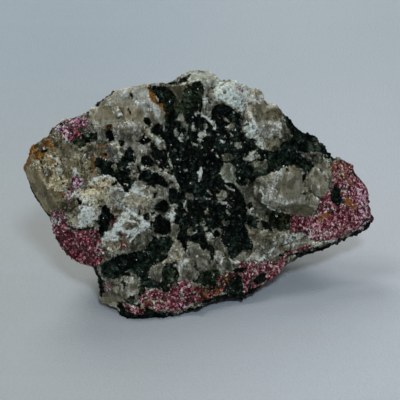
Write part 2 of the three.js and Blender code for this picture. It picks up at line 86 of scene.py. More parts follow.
# ================================================================ the minerals on the front face
# One row per patch, painted in this order: the mineral's letter, tone (-1 dark to 1 pale), warmth (-1
# green-grey to 1 brown), how far it stands proud in mm, width in px, and its outline in px. Width 0 is a
# closed outline, above 0 a line, and below 0 a closed outline broken up by grains over that share. A single
# point with a width is a round grain. An indented line carries on the row above.
# black edges, painted shade in crevices, and small corrections of tone
# painted shadow: the dark line under the cream block's overhanging edge
# pale top ledge and albite right of the dark column, their paleness partly painted light where they face up
# the bottom edge's rind: the rock's dark lower band standing out 2 mm, and painted shadow where it covers the
# dark strip of shade under the edge
FACE_PATCHES = """
# smoky quartz and feldspar of the upper left
Q .36 .35 .3 0 88,120 87,112 91,106 99,100 107,94 115,89 125,86 140,84 151,84 152,94 158,103 164,108 166,120
  160,124 150,124 140,128 120,128 105,127 95,127
Q .62 .05 0 0 133,88 145,86 150,94 156,103 162,108 160,118 148,116 140,106 134,98
Q .6 0 0 0 119,93 124,90 129,93 127,98 121,98
Q .12 .65 0 0 101,110 107,104 116,102 128,104 140,110 142,118 132,120 118,119 106,120 101,118
Q .1 .3 0 4 104,99 109,95
Q 0 .3 0 5 150,110 152,118
Q .5 .3 .2 0 113,119 126,118 140,122 146,127 132,127 114,126
Q .85 0 .1 1.6 109,103.5 113,100
Q .9 0 .1 1.6 144.5,107 144.5,116
Q -.05 0 0 0 96,127 140,127 152,134 150,146 134,144 118,137 104,143 92,142 84,134
# porous ground of the left: brownish quartz with crumbling cream and salmon grains
Q -.16 .9 0 0 27,166 29,156 34,145 40,140 46,137 50,131 52,127 62,131 66,140 75,144 88,143 97,146 101,157
  95,160 93,170 90,178 80,186 74,190 66,197 58,197 50,191 45,185 46,178 42,171 34,168
Q -.05 .9 0 -.3 30,148 35,142 44,138 52,139 54,148 48,150 40,148 33,152
Q -.02 .6 .2 0 56,142 64,140 74,144 80,148 79,158 72,162 66,160 60,154
Q -.25 .9 0 -.25 80,154 90,153 97,154 96,162 91,170 84,178 78,176 74,166 76,158
F .3 .85 .2 -.36 31,165 34,158 41,157 46,152 54,150 60,154 61,160 56,166 50,169 42,169 36,168
F .9 .6 .2 3 53,156 57,158 60,162
F .68 .95 .3 -.36 49,176 56,172 66,173 69,180 68,187 62,191 54,191 47,187
F .6 -.1 .2 -.15 57,164 61,164 63,171 60,176 56,172
F .75 0 .3 -.15 73,166 76,167 78,170 80,173 75,176 72,173
F .6 -.1 .2 -.2 62,186 67,186 69,191 64,193
F .5 .7 .2 -.35 62,191 68,191 69,197 64,198
M .5 -.9 .1 -.35 70,176 80,176 84,180 79,188 73,190 71,198 66,200 66,193 71,187 72,182
Q .16 1 .2 0 23,169 30,167 42,170 46,176 45,183 42,192 32,198 29,193 27,182 24,176
Q -.08 .9 .2 0 32,198 42,192 45,183 48,189 55,193 60,200 66,206 62,212 50,219 44,212 36,201
Q .15 .6 .1 -.2 82,146 92,146 96,152 88,155 80,152
Q .45 .5 .1 4 27,166 33,164
Q .35 .6 .1 3 46,169 48,176
Q -.35 .9 -.2 3 71,165 70,168
# cream block over the left lobe of mica
F .62 .3 .7 0 77,189 88,188 100,184 112,188 115,199 109,205 104,204 100,213 97,221 93,225 84,226 76,227 69,225
  69,219 76,217 79,210 77,203 81,200
F .85 -.05 .2 0 79,206 86,204 93,206 96,214 90,223 78,224 75,221 80,215
F .55 .65 .4 0 86,190 88,180 96,177 108,178 115,181 120,187 114,193 106,197 92,197
F .72 .95 .2 0 80,190 90,187 100,187 104,190 94,194 84,196
F .75 .2 .2 3.4 72,195 76,191 80,189
F .75 0 .2 4 108,190 114,188.5 120,188 125,191
F .9 .1 .3 3.4 90,181 97,178 103,175.5 108,175 113,178 116,180
D .2 .8 -.3 2.6 112,184 117,181
F .2 .9 0 2.4 108,184 106,190
Q -.65 .6 0 0 62,203 68,199 74,198 77,205 73,211 64,211
Q .65 .2 0 0 110,193 117,191 123,193 125,199 121,204 114,205 109,200
Q -.3 .6 0 0 109,206 119,206 121,210 117,215 111,212
# white crumbly albite and grey quartz left of the middle
Q .7 -.1 .1 4 116,202 122,203.5
F .85 -.15 .2 4.6 119,204 123,206 128,208
Q .32 .45 .3 0 124,192 130,190 137,192 144,196 151,198 155,203 150,210 143,212 136,210 130,208 124,206 121,203
F .95 -.1 .3 3.4 118,204 126,206.5
Q -.02 .3 .3 0 146,187 150,184 154,185 157,188 158,191 154,195 149,196 145,193 144,190
F .8 -.1 .3 0 130,188 133,183 136,181 141,181 147,184 145,188 142,190 138,190 134,190
Q -.1 -.1 -.1 1.8 137,183.5 142,185
F .85 -.1 .2 3 130,189 135,191 140,193 146,196 151,196
Q .6 -.2 .2 3.4 126,191 126,197 122,203 118,207
Q 1.1 0 .2 2.4 116,204
F .78 -.15 .2 0 100,239 104,236 104,230 106,228 111,228 114,224 116,220 119,216 121,212 126,209 131,207
  135,209 139,212 143,214 145,218 148,220 149,224 147,228 144,230 141,231 138,235 134,239 131,243 128,241
  124,237 121,233 118,235 114,239 109,241 103,241
F .75 -.15 .1 4 112,236 118,233
F .95 -.15 .2 3.4 104,239 110,236 115,231 117,225
F .95 -.15 .2 3 129,241 133,237 139,232 145,226 150,222
F .95 -.1 .2 2.6 142,217 144,222
F .9 -.1 .1 2.4 122,214 130,212 137,210 142,213
Q -.3 .4 -.1 0 124,224 128,222.5 136,222.5 137,227 131,229.5 125,229
Q -.3 .1 -.1 0 132,217 136,216.5 141,219 140,223 136,221
D -.1 .2 -.3 1.8 139.5,210 140,213
Q -.3 .5 -.1 -.3 117,236 120,232 124,233 127,238 129,244 124,249 118,250 114,246 113,240
M .35 -.8 .1 2.6 122,234 125,234
M .4 0 .1 0 120,248 121,244 124,242 126,246 122,247
Q .8 0 .1 2 127,241
Q .8 0 .1 2.2 123,251
Q .08 .35 0 -.35 101,242 106,241 113,241 118,250 120,254 113,255 106,257 102,250
Q -.35 -.1 .2 0 130,245 133,240 137,235 141,233 147,231 152,233 153,236 150,240 148,246 143,250 136,251
  131,250
Q .15 -.1 .1 3 144,243 144,248
Q .25 .2 0 2 118,253 128,252 138,250 146,247
# pale top ledge and albite right of the dark column
Q .52 -.4 0 0 183,78 184,70 190,68 198,70 212,70 217,75 221,81 216,88 212,92 206,90 201,80 193,81
Q .72 -.4 .1 0 190,72 200,72 205,77 202,81 194,78
Q -.08 -.3 0 -.2 203,86 208,84 213,90 213,103 211,111 206,112 202,108 203,96
Q .35 -.1 .1 0 203,92 207,91 207,99 209,103 205,103 203,98
F .85 -.5 .2 0 214,87 219,80 230,80 241,81 249,86 251,92 250,101 246,108 243,112 237,110 232,108 227,103
  221,100 216,101 213,98 212,92
F .92 -.35 .2 0 217,86 228,84 238,88 240,97 230,101 220,97
M 1.1 -.8 0 2.4 239,86 242,90
F 1 -.1 .3 3.4 241,93 246,93
F 1 -.2 .2 3 217,87
F 1 -.1 .2 2.4 231,85 236,83
F 1 0 .2 2.4 245,87
F .8 -.3 .1 3 243,106 248,102
# beige and smoky quartz of the upper right
Q .42 .2 .2 0 250,87 260,86 265,92 267,101 275,101 280,107 287,115 293,125 289,134 283,141 281,150 270,151
  262,150 255,146 254,138 250,139 246,134 243,124 243,115 246,109 248,100
Q .85 .1 .1 3.4 246,98 248,110
Q .68 .1 .1 0 249,87 260,86 264,91 266,101 258,103 250,102
Q .45 .2 .1 0 268,102 275,101 279,107 270,107
Q .08 .3 0 0 252,105 260,102 266,104 266,117 258,117 252,114
Q -.22 .4 0 -.12 266,108 274,108 281,108 284,114 281,119 273,120 266,118
Q .44 .05 .2 0 253,119 264,119 280,121 283,127 281,134 268,137 262,149 256,146 254,138 249,134
Q .95 -.1 .1 3 251,112 251.5,124
Q .4 0 .1 2.2 267,128 273,127 277,130
F .8 -.4 .2 0 240,123 248,120 254,124 256,132 253,136 247,135 243,130
F .7 -.4 .1 -.12 256,136 264,136 264,144 261,149 257,146
Q -.1 .5 0 0 266,137 276,136 281,142 280,150 268,150 265,145
Q -.5 0 0 0 281,119 285,120 290,128 293,135 287,141 281,139 280,130
Q .1 .2 .1 3 283,139
# quartz of the right
Q .04 .3 .7 0 251,182 255,178 262,177 267,174 273,170 279,169 283,165 289,163 296,166 302,173 304,179 311,171
  311,161 317,158 330,163 333,173 330,185 332,191 329,198 321,198 318,204 317,212 309,218 299,218 289,215
  280,213 269,208 261,203 253,197
Q -.3 -.1 -.1 0 251,182 255,178 262,177 262,189 263,201 267,207 259,205 252,197
Q .05 0 .1 3 256,185 256,193
Q .2 0 .1 2.8 254,202
Q .38 .1 .5 0 263,179 269,175 275,171 280,170 280,174 276,181 275,187 277,193 283,197 295,199 295,202 286,205
  277,207 269,207 264,201 263,191
Q .08 .25 .3 0 282,173 289,167 297,169 302,179 301,189 291,197 280,196 276,189 278,181
Q -.3 .3 0 0 281,206 289,204 299,203 313,205 316,211 307,217 293,216 283,213
Q -.15 .35 0 0 304,180 309,178 311,189 309,201 304,199 303,189
Q .3 .1 .2 0 310,177 313,173 316,178 311,183
Q -.3 0 .2 0 318,169 322,169 325,174 325,181 322,179 319,174
Q .15 0 .1 2 317,167 320,175 324,181 326,186
F .95 -.2 .2 2.2 280,170 279,175 276,181 274.5,186
F .8 -.1 .2 3.4 275,172 279,170
F 1 -.2 .2 2.6 261,191 263.5,194 264,201 267,205 274,209.5
Q .6 0 .1 1.8 262.5,180 262,188
Q .6 0 .2 2.6 274,200 282,201 291,201
F .85 -.1 .1 1.8 279.3,207 279.8,213
Q .65 0 .1 2.6 317,197
Q .4 0 .1 2.2 310,205 314,205
Q .25 .2 .1 2.4 287,165.5
D -.3 0 -.3 2.4 285.5,169
D -.3 0 -.4 0 302,174 306,173 305,178 304,182 302,180
D -.3 0 -.3 2.2 303,193.5 305,192
Q -.2 .35 .2 0 245,228 251,225 257,230 262,231 269,232 279,230 289,227 295,230 299,236 313,239 327,241 345,238
  335,244 320,249 303,253 289,257 275,262 261,265 252,262 251,249 252,243 247,235
Q .25 .2 .2 0 272,235 277,230 284,231 289,234 288,240 281,244 276,246 271,242
Q .6 0 .2 2.4 273,238 276,244
Q -.1 .5 0 0 277,248 284,244 292,245 289,251 280,252
Q .15 .3 0 0 299,242 313,240 325,237 333,233 331,242 319,247 305,249
Q .35 0 .1 -.2 287,232 293,233 299,236 303,241 295,243 285,244
F .85 -.1 .1 2.4 284,242 291,239 297,238 301,236
Q .6 0 .1 1.8 285,245 295,243 305,242
Q .2 0 .1 0 253,257 258,247 265,243 275,247 279,251 271,259 261,263
F .75 -.2 .1 3.2 256,259 262,260 265,255 269,250 274,247
Q .4 0 .1 2.4 269,259 275,255 279,250
D -.2 0 -.3 2 279,254 284,253 289,250
# the dark mass of tourmaline
D 0 -.2 -.1 0 247,197 252,200 254,206 249,208 246,204
D 0 -.2 -.1 0 248,213 256,216 262,220 268,221 272,229 262,229 250,226 246,220
D -.2 0 -.1 0 169,186 173,187 178,191 176,200 170,200 169,193
D -.2 0 -.1 3 158,164.5 163,168
D -.12 -.1 -.2 -.16 151,85 160,84 170,85 178,87 183,90 187,85 190,83 196,80 200,80 203,84 204,90 203,98
  203,104 201,110 206,116 212,120 212,107 217,104 221,102 225,103 229,107 232,109 237,112 241,112 244,117
  243,124 241,131 246,137 250,139 254,138 256,146 264,150 264,160 262,172 255,180 248,184 242,187 240,191
  244,197 247,206 248,216 246,226 247,234 250,240 253,245 252,249 246,248 240,250 238,254 234,257 228,254
  229,247 223,243 219,237 212,238 207,243 203,247 198,243 190,240 184,238 179,240 173,238 174,226 173,214
  171,202 172,192 180,191 178,184 175,175 170,168 165,163 165,152 165,146 164,140 161,136 164,128 165,120
  165,113 163,106 157,103 153,98 150,92
D .45 .2 0 4 157,90 161,95
D .06 .7 .1 0 162,86 204,90 202,110 190,112 176,112 166,110 164,98
Q -.34 .5 .1 0 169,86 186,85 187,90 183,94 181,100 177,97 173,91
D .16 .6 .3 0 187,84 192,83 196,80 200,81 202,86 203,92 201,104 197,110 188,104 184,94 184,90
Q .5 .3 0 1.8 152,84.5 166,84.5 180,85 188,84 192,82
D .15 -.2 0 0 169,82 176,80 184,77 187,73 190,74 188,78 189,81 180,83 172,83.5
Q .9 0 .1 2 190,77
Q .8 0 .1 2.4 181,75
Q .1 .2 0 2.4 154,94 158,99
# left dark patch and blobs, with the pale grains between them
Q .3 .1 .2 0 119,147 122,142 127,140 135,140 143,143 149,143 149,150 146,153 142,153 142,163 140,165 136,162
  135,150 130,147 125,149
Q .35 -.1 .2 0 143,146 147,142 149,145 149,149 146,151 143,149
D -.12 -.2 -.3 -.08 94,160 98,156 104,158 111,160 118,161 120,159 124,155 125,151 127,148 130,147 133,148
  135,151 135,157 134,161 130,162 127,165 129,168 133,171 134,176 137,180 134,184 131,188 128,190.5 124.5,191
  124,188 121,184 118,181 115,178 110,174 104,175 102,173 100,169 96,166
D -.3 0 .2 0 127,149 131,147.5 134,150 135,154 134,159 129,161 125,158 126,153
Q -.35 .3 0 0 110,163 117,162 118,168 114,170
Q -.4 .1 0 -.5 129,171 134,169 139,172 139,178 135,180 131,177
Q 1 .6 .2 2 132.5,171.5
Q .8 0 .2 2.2 138,174 138,177
F .7 .2 .2 2.2 127,167 129,164.5 133,163 138,161
F .65 .5 .2 0 124,181 127,181 129,184 128,187.5 126.5,185
F .72 .45 .3 0 104,142 109,143 113,146 117,149 118,152 119,157 122,158 125,154 125,150 126,147 122,147 119,145
  118,141 116,138 114,141 111,142
F .95 .1 .2 0 113,154 116,153 119,157 121,159 117,160 114,158
D -.3 0 -.3 0 144,117 147,117 150,119 152,124 149,127 146,124 144,120
D -.3 0 -.3 0 152,127 155,125 161,123 164,125 165,132 165,138 161,134 155,135 152,131
D -.3 0 -.4 5.4 109,127
D -.3 0 -.4 0 106,130 112,130 114,134 114,140 111,142 108,140 106,134
D -.3 0 -.3 0 118,139 122,140 125,141 124,144 121,147 119,144
D -.3 0 -.3 0 134,141 138,140 143,137 141,134 145,133 148,136 151,138 151,140 148,141 144,144 141,142
Q .6 .3 .1 2 146,136
D -.25 -.1 .2 0 150,141 153,141 155,145 160,149 164,148 167,150 168,156 168,161 169,165 168,168 164,167
  161,166 159,163 157,160 153,157 151,153 152,148 150,145
D -.35 0 .5 0 142,157 145,154 149,154 152,157 155,160 157,161.5 156,163 152,166 149,168 146,167 142,164
  141,161
D -.3 -.1 .4 0 139,177 140,171 144,170 150,170 154,172 158,173 162,175 165,178 167,181 169,184 167,187 163,187
  160,185 156,184 152,184 148,184 147,181 143,180
F .65 0 .2 0 141,167 144,165.5 147,167 148,169 145,170 141.5,169.5
F .5 -.1 .1 1.3 156,158.5 159,162
D -.35 0 .6 13.4 162.7,205.3
D -.35 0 .7 0 155.5,216 158,214.5 162,214 165,216 168,220 171,224 171,230 168,233 163,234 158,234 155,230
  154,223
D -.2 0 -.2 0 143,213 149,213 150,218 147,220 144,218
D -.2 0 -.3 2 151,213 156,209
D -.1 0 -.2 2.2 130.5,92.5 132,96.5
D -.2 0 -.3 2.2 149,85 150,89
D .1 0 -.2 2 151,94 154,95
D .2 .9 -.1 2.2 128.5,109 130,112
D -.2 0 -.2 2.6 154,195 156,192
D -.2 0 -.2 2.2 166.4,194 166.4,196
D -.2 0 -.2 1.8 153,184.5 157,187
D -.2 0 -.2 2.6 207.5,95
D -.2 0 -.2 2.4 209,99 211,102
D 0 .4 -.2 -.2 80,131 88,128 92,131 97,132 99,140 92,141 84,142 81,138
D .3 -.2 -.1 0 97,138 102,139 107,142 102,145 96,143
Q -.05 .5 0 -.3 97,199 104,199 104,205 98,207
# dark star beside the cream block, and the lower left band
D -.15 -.1 -.4 0 103,204 106,204 109,208 112,215 114,217 112,219 109,223 108,228 105,231 104,235 101,237
  99,233 95,233 98,228 100,223 94,221 98,218 100,215 101,209
D .1 -.2 -.3 0 101,264 106,260 112,256 118,254 128,254 134,252 141,251 145,249 149,245 152,240 153,235 159,236
  168,235 175,240 173,244 169,247 168,254 165,260 160,261 155,264 151,268 149,273 151,277 158,279 161,283
  160,289 150,287 143,286 141,281 138,277 135,272 131,271 127,273 121,276 118,279 112,280 106,278 101,276
D .35 .7 -.1 -.25 161,264 168,262 176,264 180,272 177,281 172,288 163,291 160,282 163,274
D .15 .6 -.2 0 196,281 199,276 205,271 210,267 218,269 221,275 219,282 212,284 204,285
D -.3 0 -.6 2 179,232 182,240 186,249
D -.3 0 -.7 2.4 196,237 204,244 211,243 214,249 213,259
# grey quartz under the mass
Q -.05 -.1 .3 0 187,240 192,242 198,245 206,247 211,250 212,258 218,258 220,266 212,268 206,271 200,276
  194,281 187,279 186,268 188,260 188,250
Q -.12 -.1 .1 0 186,266 192,262 198,266 196,275 190,279 186,276
Q .3 0 .1 2.6 188,243 189,251
Q .7 0 .1 2 191,250
Q .5 0 .1 3 208,254 210,258
Q .3 0 .2 -.45 214,250 221,249 227,254 223,258 217,257
Q .55 0 .2 1.8 215,255 218,260 221,265
Q .85 0 .2 2.6 219,256 222,259 222,263
Q -.25 .1 .1 0 212,260 219,260 221,268 214,269
Q .08 .25 .5 0 171,247 174,243 178,241 181,243 183,246 185,250 184,254 180,257 176,259 171,259 169,256 170,251
Q .85 .2 .1 1.8 170.5,256
F .5 .6 .1 2.4 160,263 167,259 174,260 180,257
Q .8 .15 .3 0 172,265 176,263 180,260 185,256 189,257 188,261 184,265 182,271 181,276 178,272 176,267
D -.3 .2 -.4 2.2 165,265 172,267 177,271 178,276
Q -.22 -.1 .3 0 148,273 152,265 155,264 159,261 163,262 162,266 159,271 159,278 156,280 152,278
Q .1 .05 .1 2.8 157,265 161,263 162,267
D .25 .5 0 -.3 162,270 170,270 177,276 177,284 172,291 163,291 160,284
Q -.3 .3 .4 0 101,280 110,278 119,277 123,285 123,292 128,299 120,297 110,295 102,298
D -.2 .2 -.2 -.3 96,276 104,281 106,288 102,296 97,290
M .3 -.3 0 -.5 103,283 112,284 110,290 104,289
Q .1 .1 .2 2.6 114,282 120,283 121,280
Q .15 .3 0 1.2 106,283 115,289 122,296
Q .15 .3 0 1 104,289 112,294 119,296
Q .22 .3 .5 0 124,277 128,275 130,272 134,274 136,277 138,281 140,286 137,290 136,295 134,300 130,298 127,296
  124,291
Q .4 .2 .3 0 129,275 134,275 138,281 134,285 128,284
Q 1 0 .2 2.2 125.5,282.5 128,283
Q .85 .1 .2 2.2 121.5,286 122.5,289
Q .55 .2 .1 1.2 129,288 133,296 136,302
Q .5 .3 .1 1.2 133,288 136,295
D -.2 .3 -.3 1.6 124,279 124,286
Q .3 .6 0 0 100,297 110,294 119,297 126,301 120,308 116,310 108,305 101,302
D -.2 .2 -.2 2 124,299 130,301 137,305 142,307
D 0 .2 -.1 -.4 128,296 136,296 137,301 130,302
Q -.1 0 .2 0 226,244 230,249 230,256 226,255
Q -.1 .1 .1 -.3 238,251 250,250 254,258 244,258
F .7 -.2 .2 -.15 229,255 233,258.5 238,259.5 241,262 237,264 232,263 230,259
Q .1 .1 .1 -.3 241,257 252,254 257,257 252,262 246,262
Q -.35 0 0 0 226,263 234,265 241,265 240,271 230,272
D .1 .9 -.1 -.2 139,285 143,284 146,290 143,296 139,294
# pink mica
M .45 -.6 .2 -.38 52,127 62,121 72,117 80,115 87,117 89,124 85,129 81,134 82,141 86,145 76,145 70,141 64,137
  61,131 56,130
M -.1 -.5 .2 -.12 69,128 78,126 80,133 80,140 83,144 76,143 70,139 67,134
M .65 -.8 .1 -.4 53,127 60,123 68,122 66,129 58,132
D .3 .9 0 -.2 76,138 84,137 87,144 80,147 73,143
M .4 -.6 0 -.4 60,131 66,131 69,137 64,139
M .02 .08 .5 0 50,218 54,213 59,209 63,211 64,218 68,226 77,229 84,227 93,225 97,231 100,237 103,241 101,250
  106,258 100,263 94,267 86,265 78,262 68,256 62,250 56,241 51,229
M .55 -.3 0 -.4 62,213 70,217 78,218 78,222 70,225 66,222
F .4 .2 .1 -.2 66,213 75,214 79,222 76,230 68,229
M .35 -.6 .1 -.45 50,214 55,209 63,211 64,217 60,224 54,225
M -.6 0 -.3 2.2 96,233 97,243 98,252
M .2 .1 .1 -.3 95,238 100,238 102,246 105,251 104,257 100,261 96,252
M .1 .1 0 0 111,224 111.5,220 114,217 117,217 114,221 112,226
D -.2 .1 -.2 0 118,301 124,301 131,304 139,303 148,307 160,312 175,313 190,311 200,306 215,301 232,298 245,296
  257,291 266,284 268,276 262,276 256,281 246,286 236,292 226,293 216,296 216,303 200,309 185,316 165,320
  145,322 130,322 121,317 117,311
M 0 .3 .1 -.3 122,302 130,303 138,305 146,309 143,314 134,314 126,311
M .1 .1 .3 -.18 139,297 146,291 150,288 158,289 162,293 168,292 173,287 177,281 188,280 193,284 191,290
  196,294 200,299 194,302 186,306 180,310 170,311 155,308 142,303
F .75 .8 .1 2.6 142,304 144,308
F .75 .7 .1 2.6 153,300 154,306
M -.75 .5 -.3 3 154,295
M -.7 .5 -.3 2.6 163,297
M -.5 .4 -.1 3 157,308
M -.75 .8 -.3 3 147,305
F .8 .4 .1 2 150,289 156,289
F .6 .7 .1 1.8 144,301 150,299 158,300 166,303
Q .6 0 .1 2.4 180,291 183,298
M .75 -.6 .1 4.4 179,304 184,305
D 0 0 -.2 3 183,308
M -.3 .8 .1 -.4 191,288 199,286 208,287 217,286 220,282 219,276 228,272 238,271 241,277 236,284 228,288
  220,293 208,298 200,301 195,295
D .1 .3 -.2 0 223,279 234,275 242,275 242,281 244,286 240,293 230,293 222,291 226,285
M .16 .1 .2 -.25 239,263 246,261 253,261 257,266 262,265 268,262 275,261 282,258 288,255 300,251 312,248
  312,252 300,255 290,258 283,265 277,273 268,276 258,274 252,276 250,284 247,292 242,293 245,285 242,279
  240,272
M .45 0 .1 -.25 258,262 270,261 276,262 272,268 262,269
M -.4 0 0 0 242,276 250,276 250,284 244,284
D -.2 0 -.2 4 236,271 244,269
M .25 .1 .1 0 258,274 268,275 276,268 281,264 282,268 276,276 266,283 257,287 252,288 253,280
D -.2 0 -.2 0 256,275 262,273 267,275 266,281 258,285 254,281
M .24 .05 .3 -.16 289,222 290,215 300,214 310,217 317,212 319,203 322,196 328,190 333,184 333,174 331,166
  335,161 344,159 352,163 357,172 363,179 368,186 370,195 371,206 371,216 367,224 354,231 341,237 328,240
  316,240 308,236 300,229 295,231 291,228
M -.15 .2 0 0 290,216 300,215 304,224 300,232 295,235 291,228
M .02 .4 0 -.4 331,163 340,160 350,163 352,170 348,180 338,182 332,176
M .5 .1 .1 -.2 343,173 350,172 350,180 344,182
M .62 -.35 .1 -.1 356,182 362,182 367,190 368,204 366,216 360,214 358,200
M -.1 .1 0 0 336,212 342,207 348,210 348,218 340,222 335,218
M .5 -.1 0 -.35 300,228 312,224 326,226 332,232 322,238 306,237
F .85 0 .1 3.4 308,227
F .85 0 .1 3.2 325,231
F .8 0 .1 3.4 345,190
M .5 -.5 0 -.35 352,230 358,222 364,214 370,211 372,219 368,227 356,234
D -.1 0 -.2 1.6 357,229 364,222 371,217
D 0 -.2 -.6 0 330,193 332,187 336,185 340,187 341,194 344,199 342,202 339,206 335,205 331,200
D 0 .4 -.2 0 208,284 216,283 221,286 216,290 209,290
D -.1 .1 -.1 4 184,311 192,308
F .6 .1 .2 -.3 292,233 300,232 306,234 304,238 296,238
Q .35 0 .1 3 262,252 266,250
# right green-black band and its fringe along the outline
D .14 -.2 -.2 -.08 284,112 289,116 294,122 299,129 307,133 314,135 320,139 325,146 331,153 336,160 328,162
  318,158 312,158 313,166 310,172 306,172 302,168 296,165 290,162 284,163 277,166 272,170 266,174 258,177
  256,172 262,171 266,166 268,160 263,158 262,150 280,150 280,146 284,140 290,140 292,134 288,127 285,120
D .04 -.2 -.2 -.05 262,150 280,150 298,152 305,157 304,165 294,164 284,167 274,170 264,172 262,168 268,160
D -.25 -.3 .9 4.6 288,117 294,125 300,130 308,133 314,136
D 0 -.5 2.3 5 314,136 320,139 325,146 330,152
Q .1 -.4 .1 -.2 322,158 330,158 334,163 326,163
Q -.35 -.5 .1 -.45 300,155 310,150 320,152 328,158 320,162 308,160
Q -.1 0 .1 3.6 317,142
D -.25 0 -.4 0 348,161 354,166 358,174 361,180 356,178 353,172 351,167
D -.2 0 .8 0 368,204 374,210 375,222 370,230 356,238 340,243 321,250 304,255 288,260 286,256 302,251 320,246
  338,240 350,236.5 354,232 363,229.5 370,221 371,213
F .85 -.1 .1 1.5 292,249 304,246 320,243 338,238
D -.1 0 -.1 1.4 300,250 320,246 344,238
Q .3 0 .1 1.6 297,151 303,152 310,156 316,160
M -.1 .2 1.4 5 349,164 355,169
M -.5 0 1 5 371,206 373,213 372,218
D 0 .9 -.2 0 268,212 272,210 284,212 291,214 291,222 289,229 280,229 270,226 268,219
D -.1 -.2 .4 11 241,173
Q .6 0 .1 1.8 240,171
D -.25 0 -.3 0 248,140 251,137 254,138 255,147 247,145
D -.2 0 -.1 3 137,166 139,170
Q -.15 0 0 3 140,148 144,150
# pale islands in the dark mass
Q -.3 -.3 0 0 252,197 258,199 265,205 266,212 258,214 254,211 254,204
Q -.45 -.3 0 3 246,180 250,182
F .52 .5 .3 0 143,132 144,129 147,126 151,129 154,136 153,139 149,134
F .77 -.2 .3 0 153,139 154,136 158,135.5 162,138 162.5,142 160,144.5 158,145.5 156,143
Q .75 -.35 .2 2.4 163,121 163.5,129
Q .15 .3 .1 0 150,119 162,118 165,112 166,119 162,124 152,124
Q .27 .35 .4 0 174,118 177,118.5 179,113 182,112 184,115 185,120 184,122 181,121 178,120
Q -.05 -.35 .3 0 182,121 186,120.5 188,124 188,128 186,130 183,126
Q .65 -.35 .2 2 186.5,123
Q -.13 -.35 .3 0 174.5,127 177,128 180,132 178,137 175,135 173.5,131
F .72 -.3 .4 0 179,136 182,133 186,137 184,142 182,142 179,139
D -.1 0 -.2 1.8 182.5,138.5
Q .05 -.35 .2 1.8 186,131 188.5,137
Q .6 -.35 .3 0 195,114 196,111 198.5,109 200.5,112 198.5,115
D 0 0 -.2 2 198,113.6
F .82 -.3 .4 0 202,110 204,113 208,116 212,119 215,120 216,123 217,128 216,130 213,129 210,124 208,121 204,117
  202,114
D -.2 0 -.3 2.2 213.6,122.6
Q -.05 -.35 .1 2 214.5,127
Q .3 -.25 .3 0 191,128 191.5,124 193,121 194.5,125 197.5,127 196,129.5 192,129
Q -.2 -.35 .2 0 203,125 206,122.5 208,125 207.5,129 204,128
F .72 -.2 .4 0 197,138 199,136 198,132.5 200,130.5 204,129 207.5,131 208,135 204,137 202,141 200.5,141 200,138
D -.1 0 -.2 1.8 206.4,131.6
D -.1 0 -.2 1.8 204.5,136.8
Q .5 -.35 .3 0 190.5,140.5 194,142 198,144 200,146.5 196,145.5 192,143.5
Q .4 -.35 .3 0 224,117 226,116 228,118.5 230.5,119.5 229,121.5 225,120.5
Q .27 .35 .4 0 226,126 229,123 232,122 234.5,122.5 235,127 233,130 230,128
Q .35 -.35 .3 0 217,133 220,134 219.5,136.5 217,136
Q .25 -.35 .2 0 224,133.5 226.5,134 226,137 224,137
Q .7 -.35 .3 0 220,137 222,139 225,140.5 225,143 222.5,142.5 220.5,140
Q .3 -.35 .3 0 229,141 231.5,140 232,144 230.5,146
Q .15 -.35 .2 1.8 229,131 233,136
Q -.15 -.85 .3 0 235,142 239,140.5 243,142 241,147 237,149 235,147
Q .45 -.35 .2 2 233,113
Q .4 -.35 .2 2.4 241,114
Q .35 -.35 .2 2 239,119
Q .3 -.35 .2 2 216,153 218,156
Q -.35 -.65 .2 0 221,153 229,152 234,157 230,160 224,160
Q .55 -.35 .2 1.8 236,154
Q .45 -.35 .2 1.8 177.5,158.5
Q .35 -.35 .2 1.8 180.5,158.5
Q .35 -.35 .2 1.8 175,165
Q .45 -.35 .2 1.8 195.5,158.5
Q .75 .6 .2 1.8 191,182
F .87 -.3 .5 0 200.5,164 202,166 203,170 202.5,175 201,178 200,181.5 198.8,179.5 198.5,175 198,172 198.8,169
Q -.17 -.6 .6 0 221,166 224,162 230,163 235,165 237,169 236,173 238,178 235,181.5 230,182 225,180.5 221.5,177
  220,172
F .77 -.4 .3 2.4 221,167 220.5,173 222,176 226,180 229,181
Q .35 -.35 .1 2 224,162.5 229,163
Q .3 -.35 .1 2.2 231,170 234,176 237,179
Q .4 -.55 .2 2.2 225,184 229,187 233,189
D -.2 0 -.3 2.4 228,183.5 232,183
Q .05 -.45 .2 3 233,181 237,186 242,188
F .72 -.3 .2 1.3 168,151 169,157 171,162 171.5,168
F .62 -.3 .2 1.6 168,165
F .52 -.2 .3 0 153,171.5 157,170 162,170 168,170 173,172 175,174 177,179 179,185 180,188 178,190 175,184
  172,181 168,179 165,175 161,173 157,172.5
Q .15 -.15 .1 3.4 170.5,176
F .82 -.2 .2 2 175,175 177,182
D -.1 .2 -.3 2 169,172.5 173,172.5
D 0 .3 -.2 1.8 169,182.5 172,182.5
Q .25 -.25 .3 0 157,185 162,186 166,188 168,193 168,199 164,199 160,197 158,192
Q .75 -.35 .2 2.2 160,192
Q .5 -.35 .1 2.2 161,215 164,217 168,215
F .72 -.1 .4 0 243,157 247,155 250,153 253,151 256,149 259,152 261,156 257,158.5 252,161 248,160
Q -.05 -.15 .2 0 252,154 257,152 260,156 256,158
Q -.35 -.75 .3 0 250,163 256,160 264,160 269,162 267,168 262,171 257,170
D -.3 0 -.5 4 258,151
Q -.2 -.35 .2 3.4 176,150
Q -.15 -.35 .2 3.2 212,150
Q -.25 -.35 .2 3.2 186,170
Q .2 -.25 .3 0 216,196 216,193.5 219,192.5 220,190 223,188 226,191 227,196 225.5,199 221,199.5 218,198.5
Q .55 -.35 .2 1.8 218.5,195.5
Q .1 -.35 .2 2.4 218,201 222,201.5 227,202
M .3 .1 .1 1.8 224.5,202
Q .1 -.35 .2 2.4 228,204 231,206
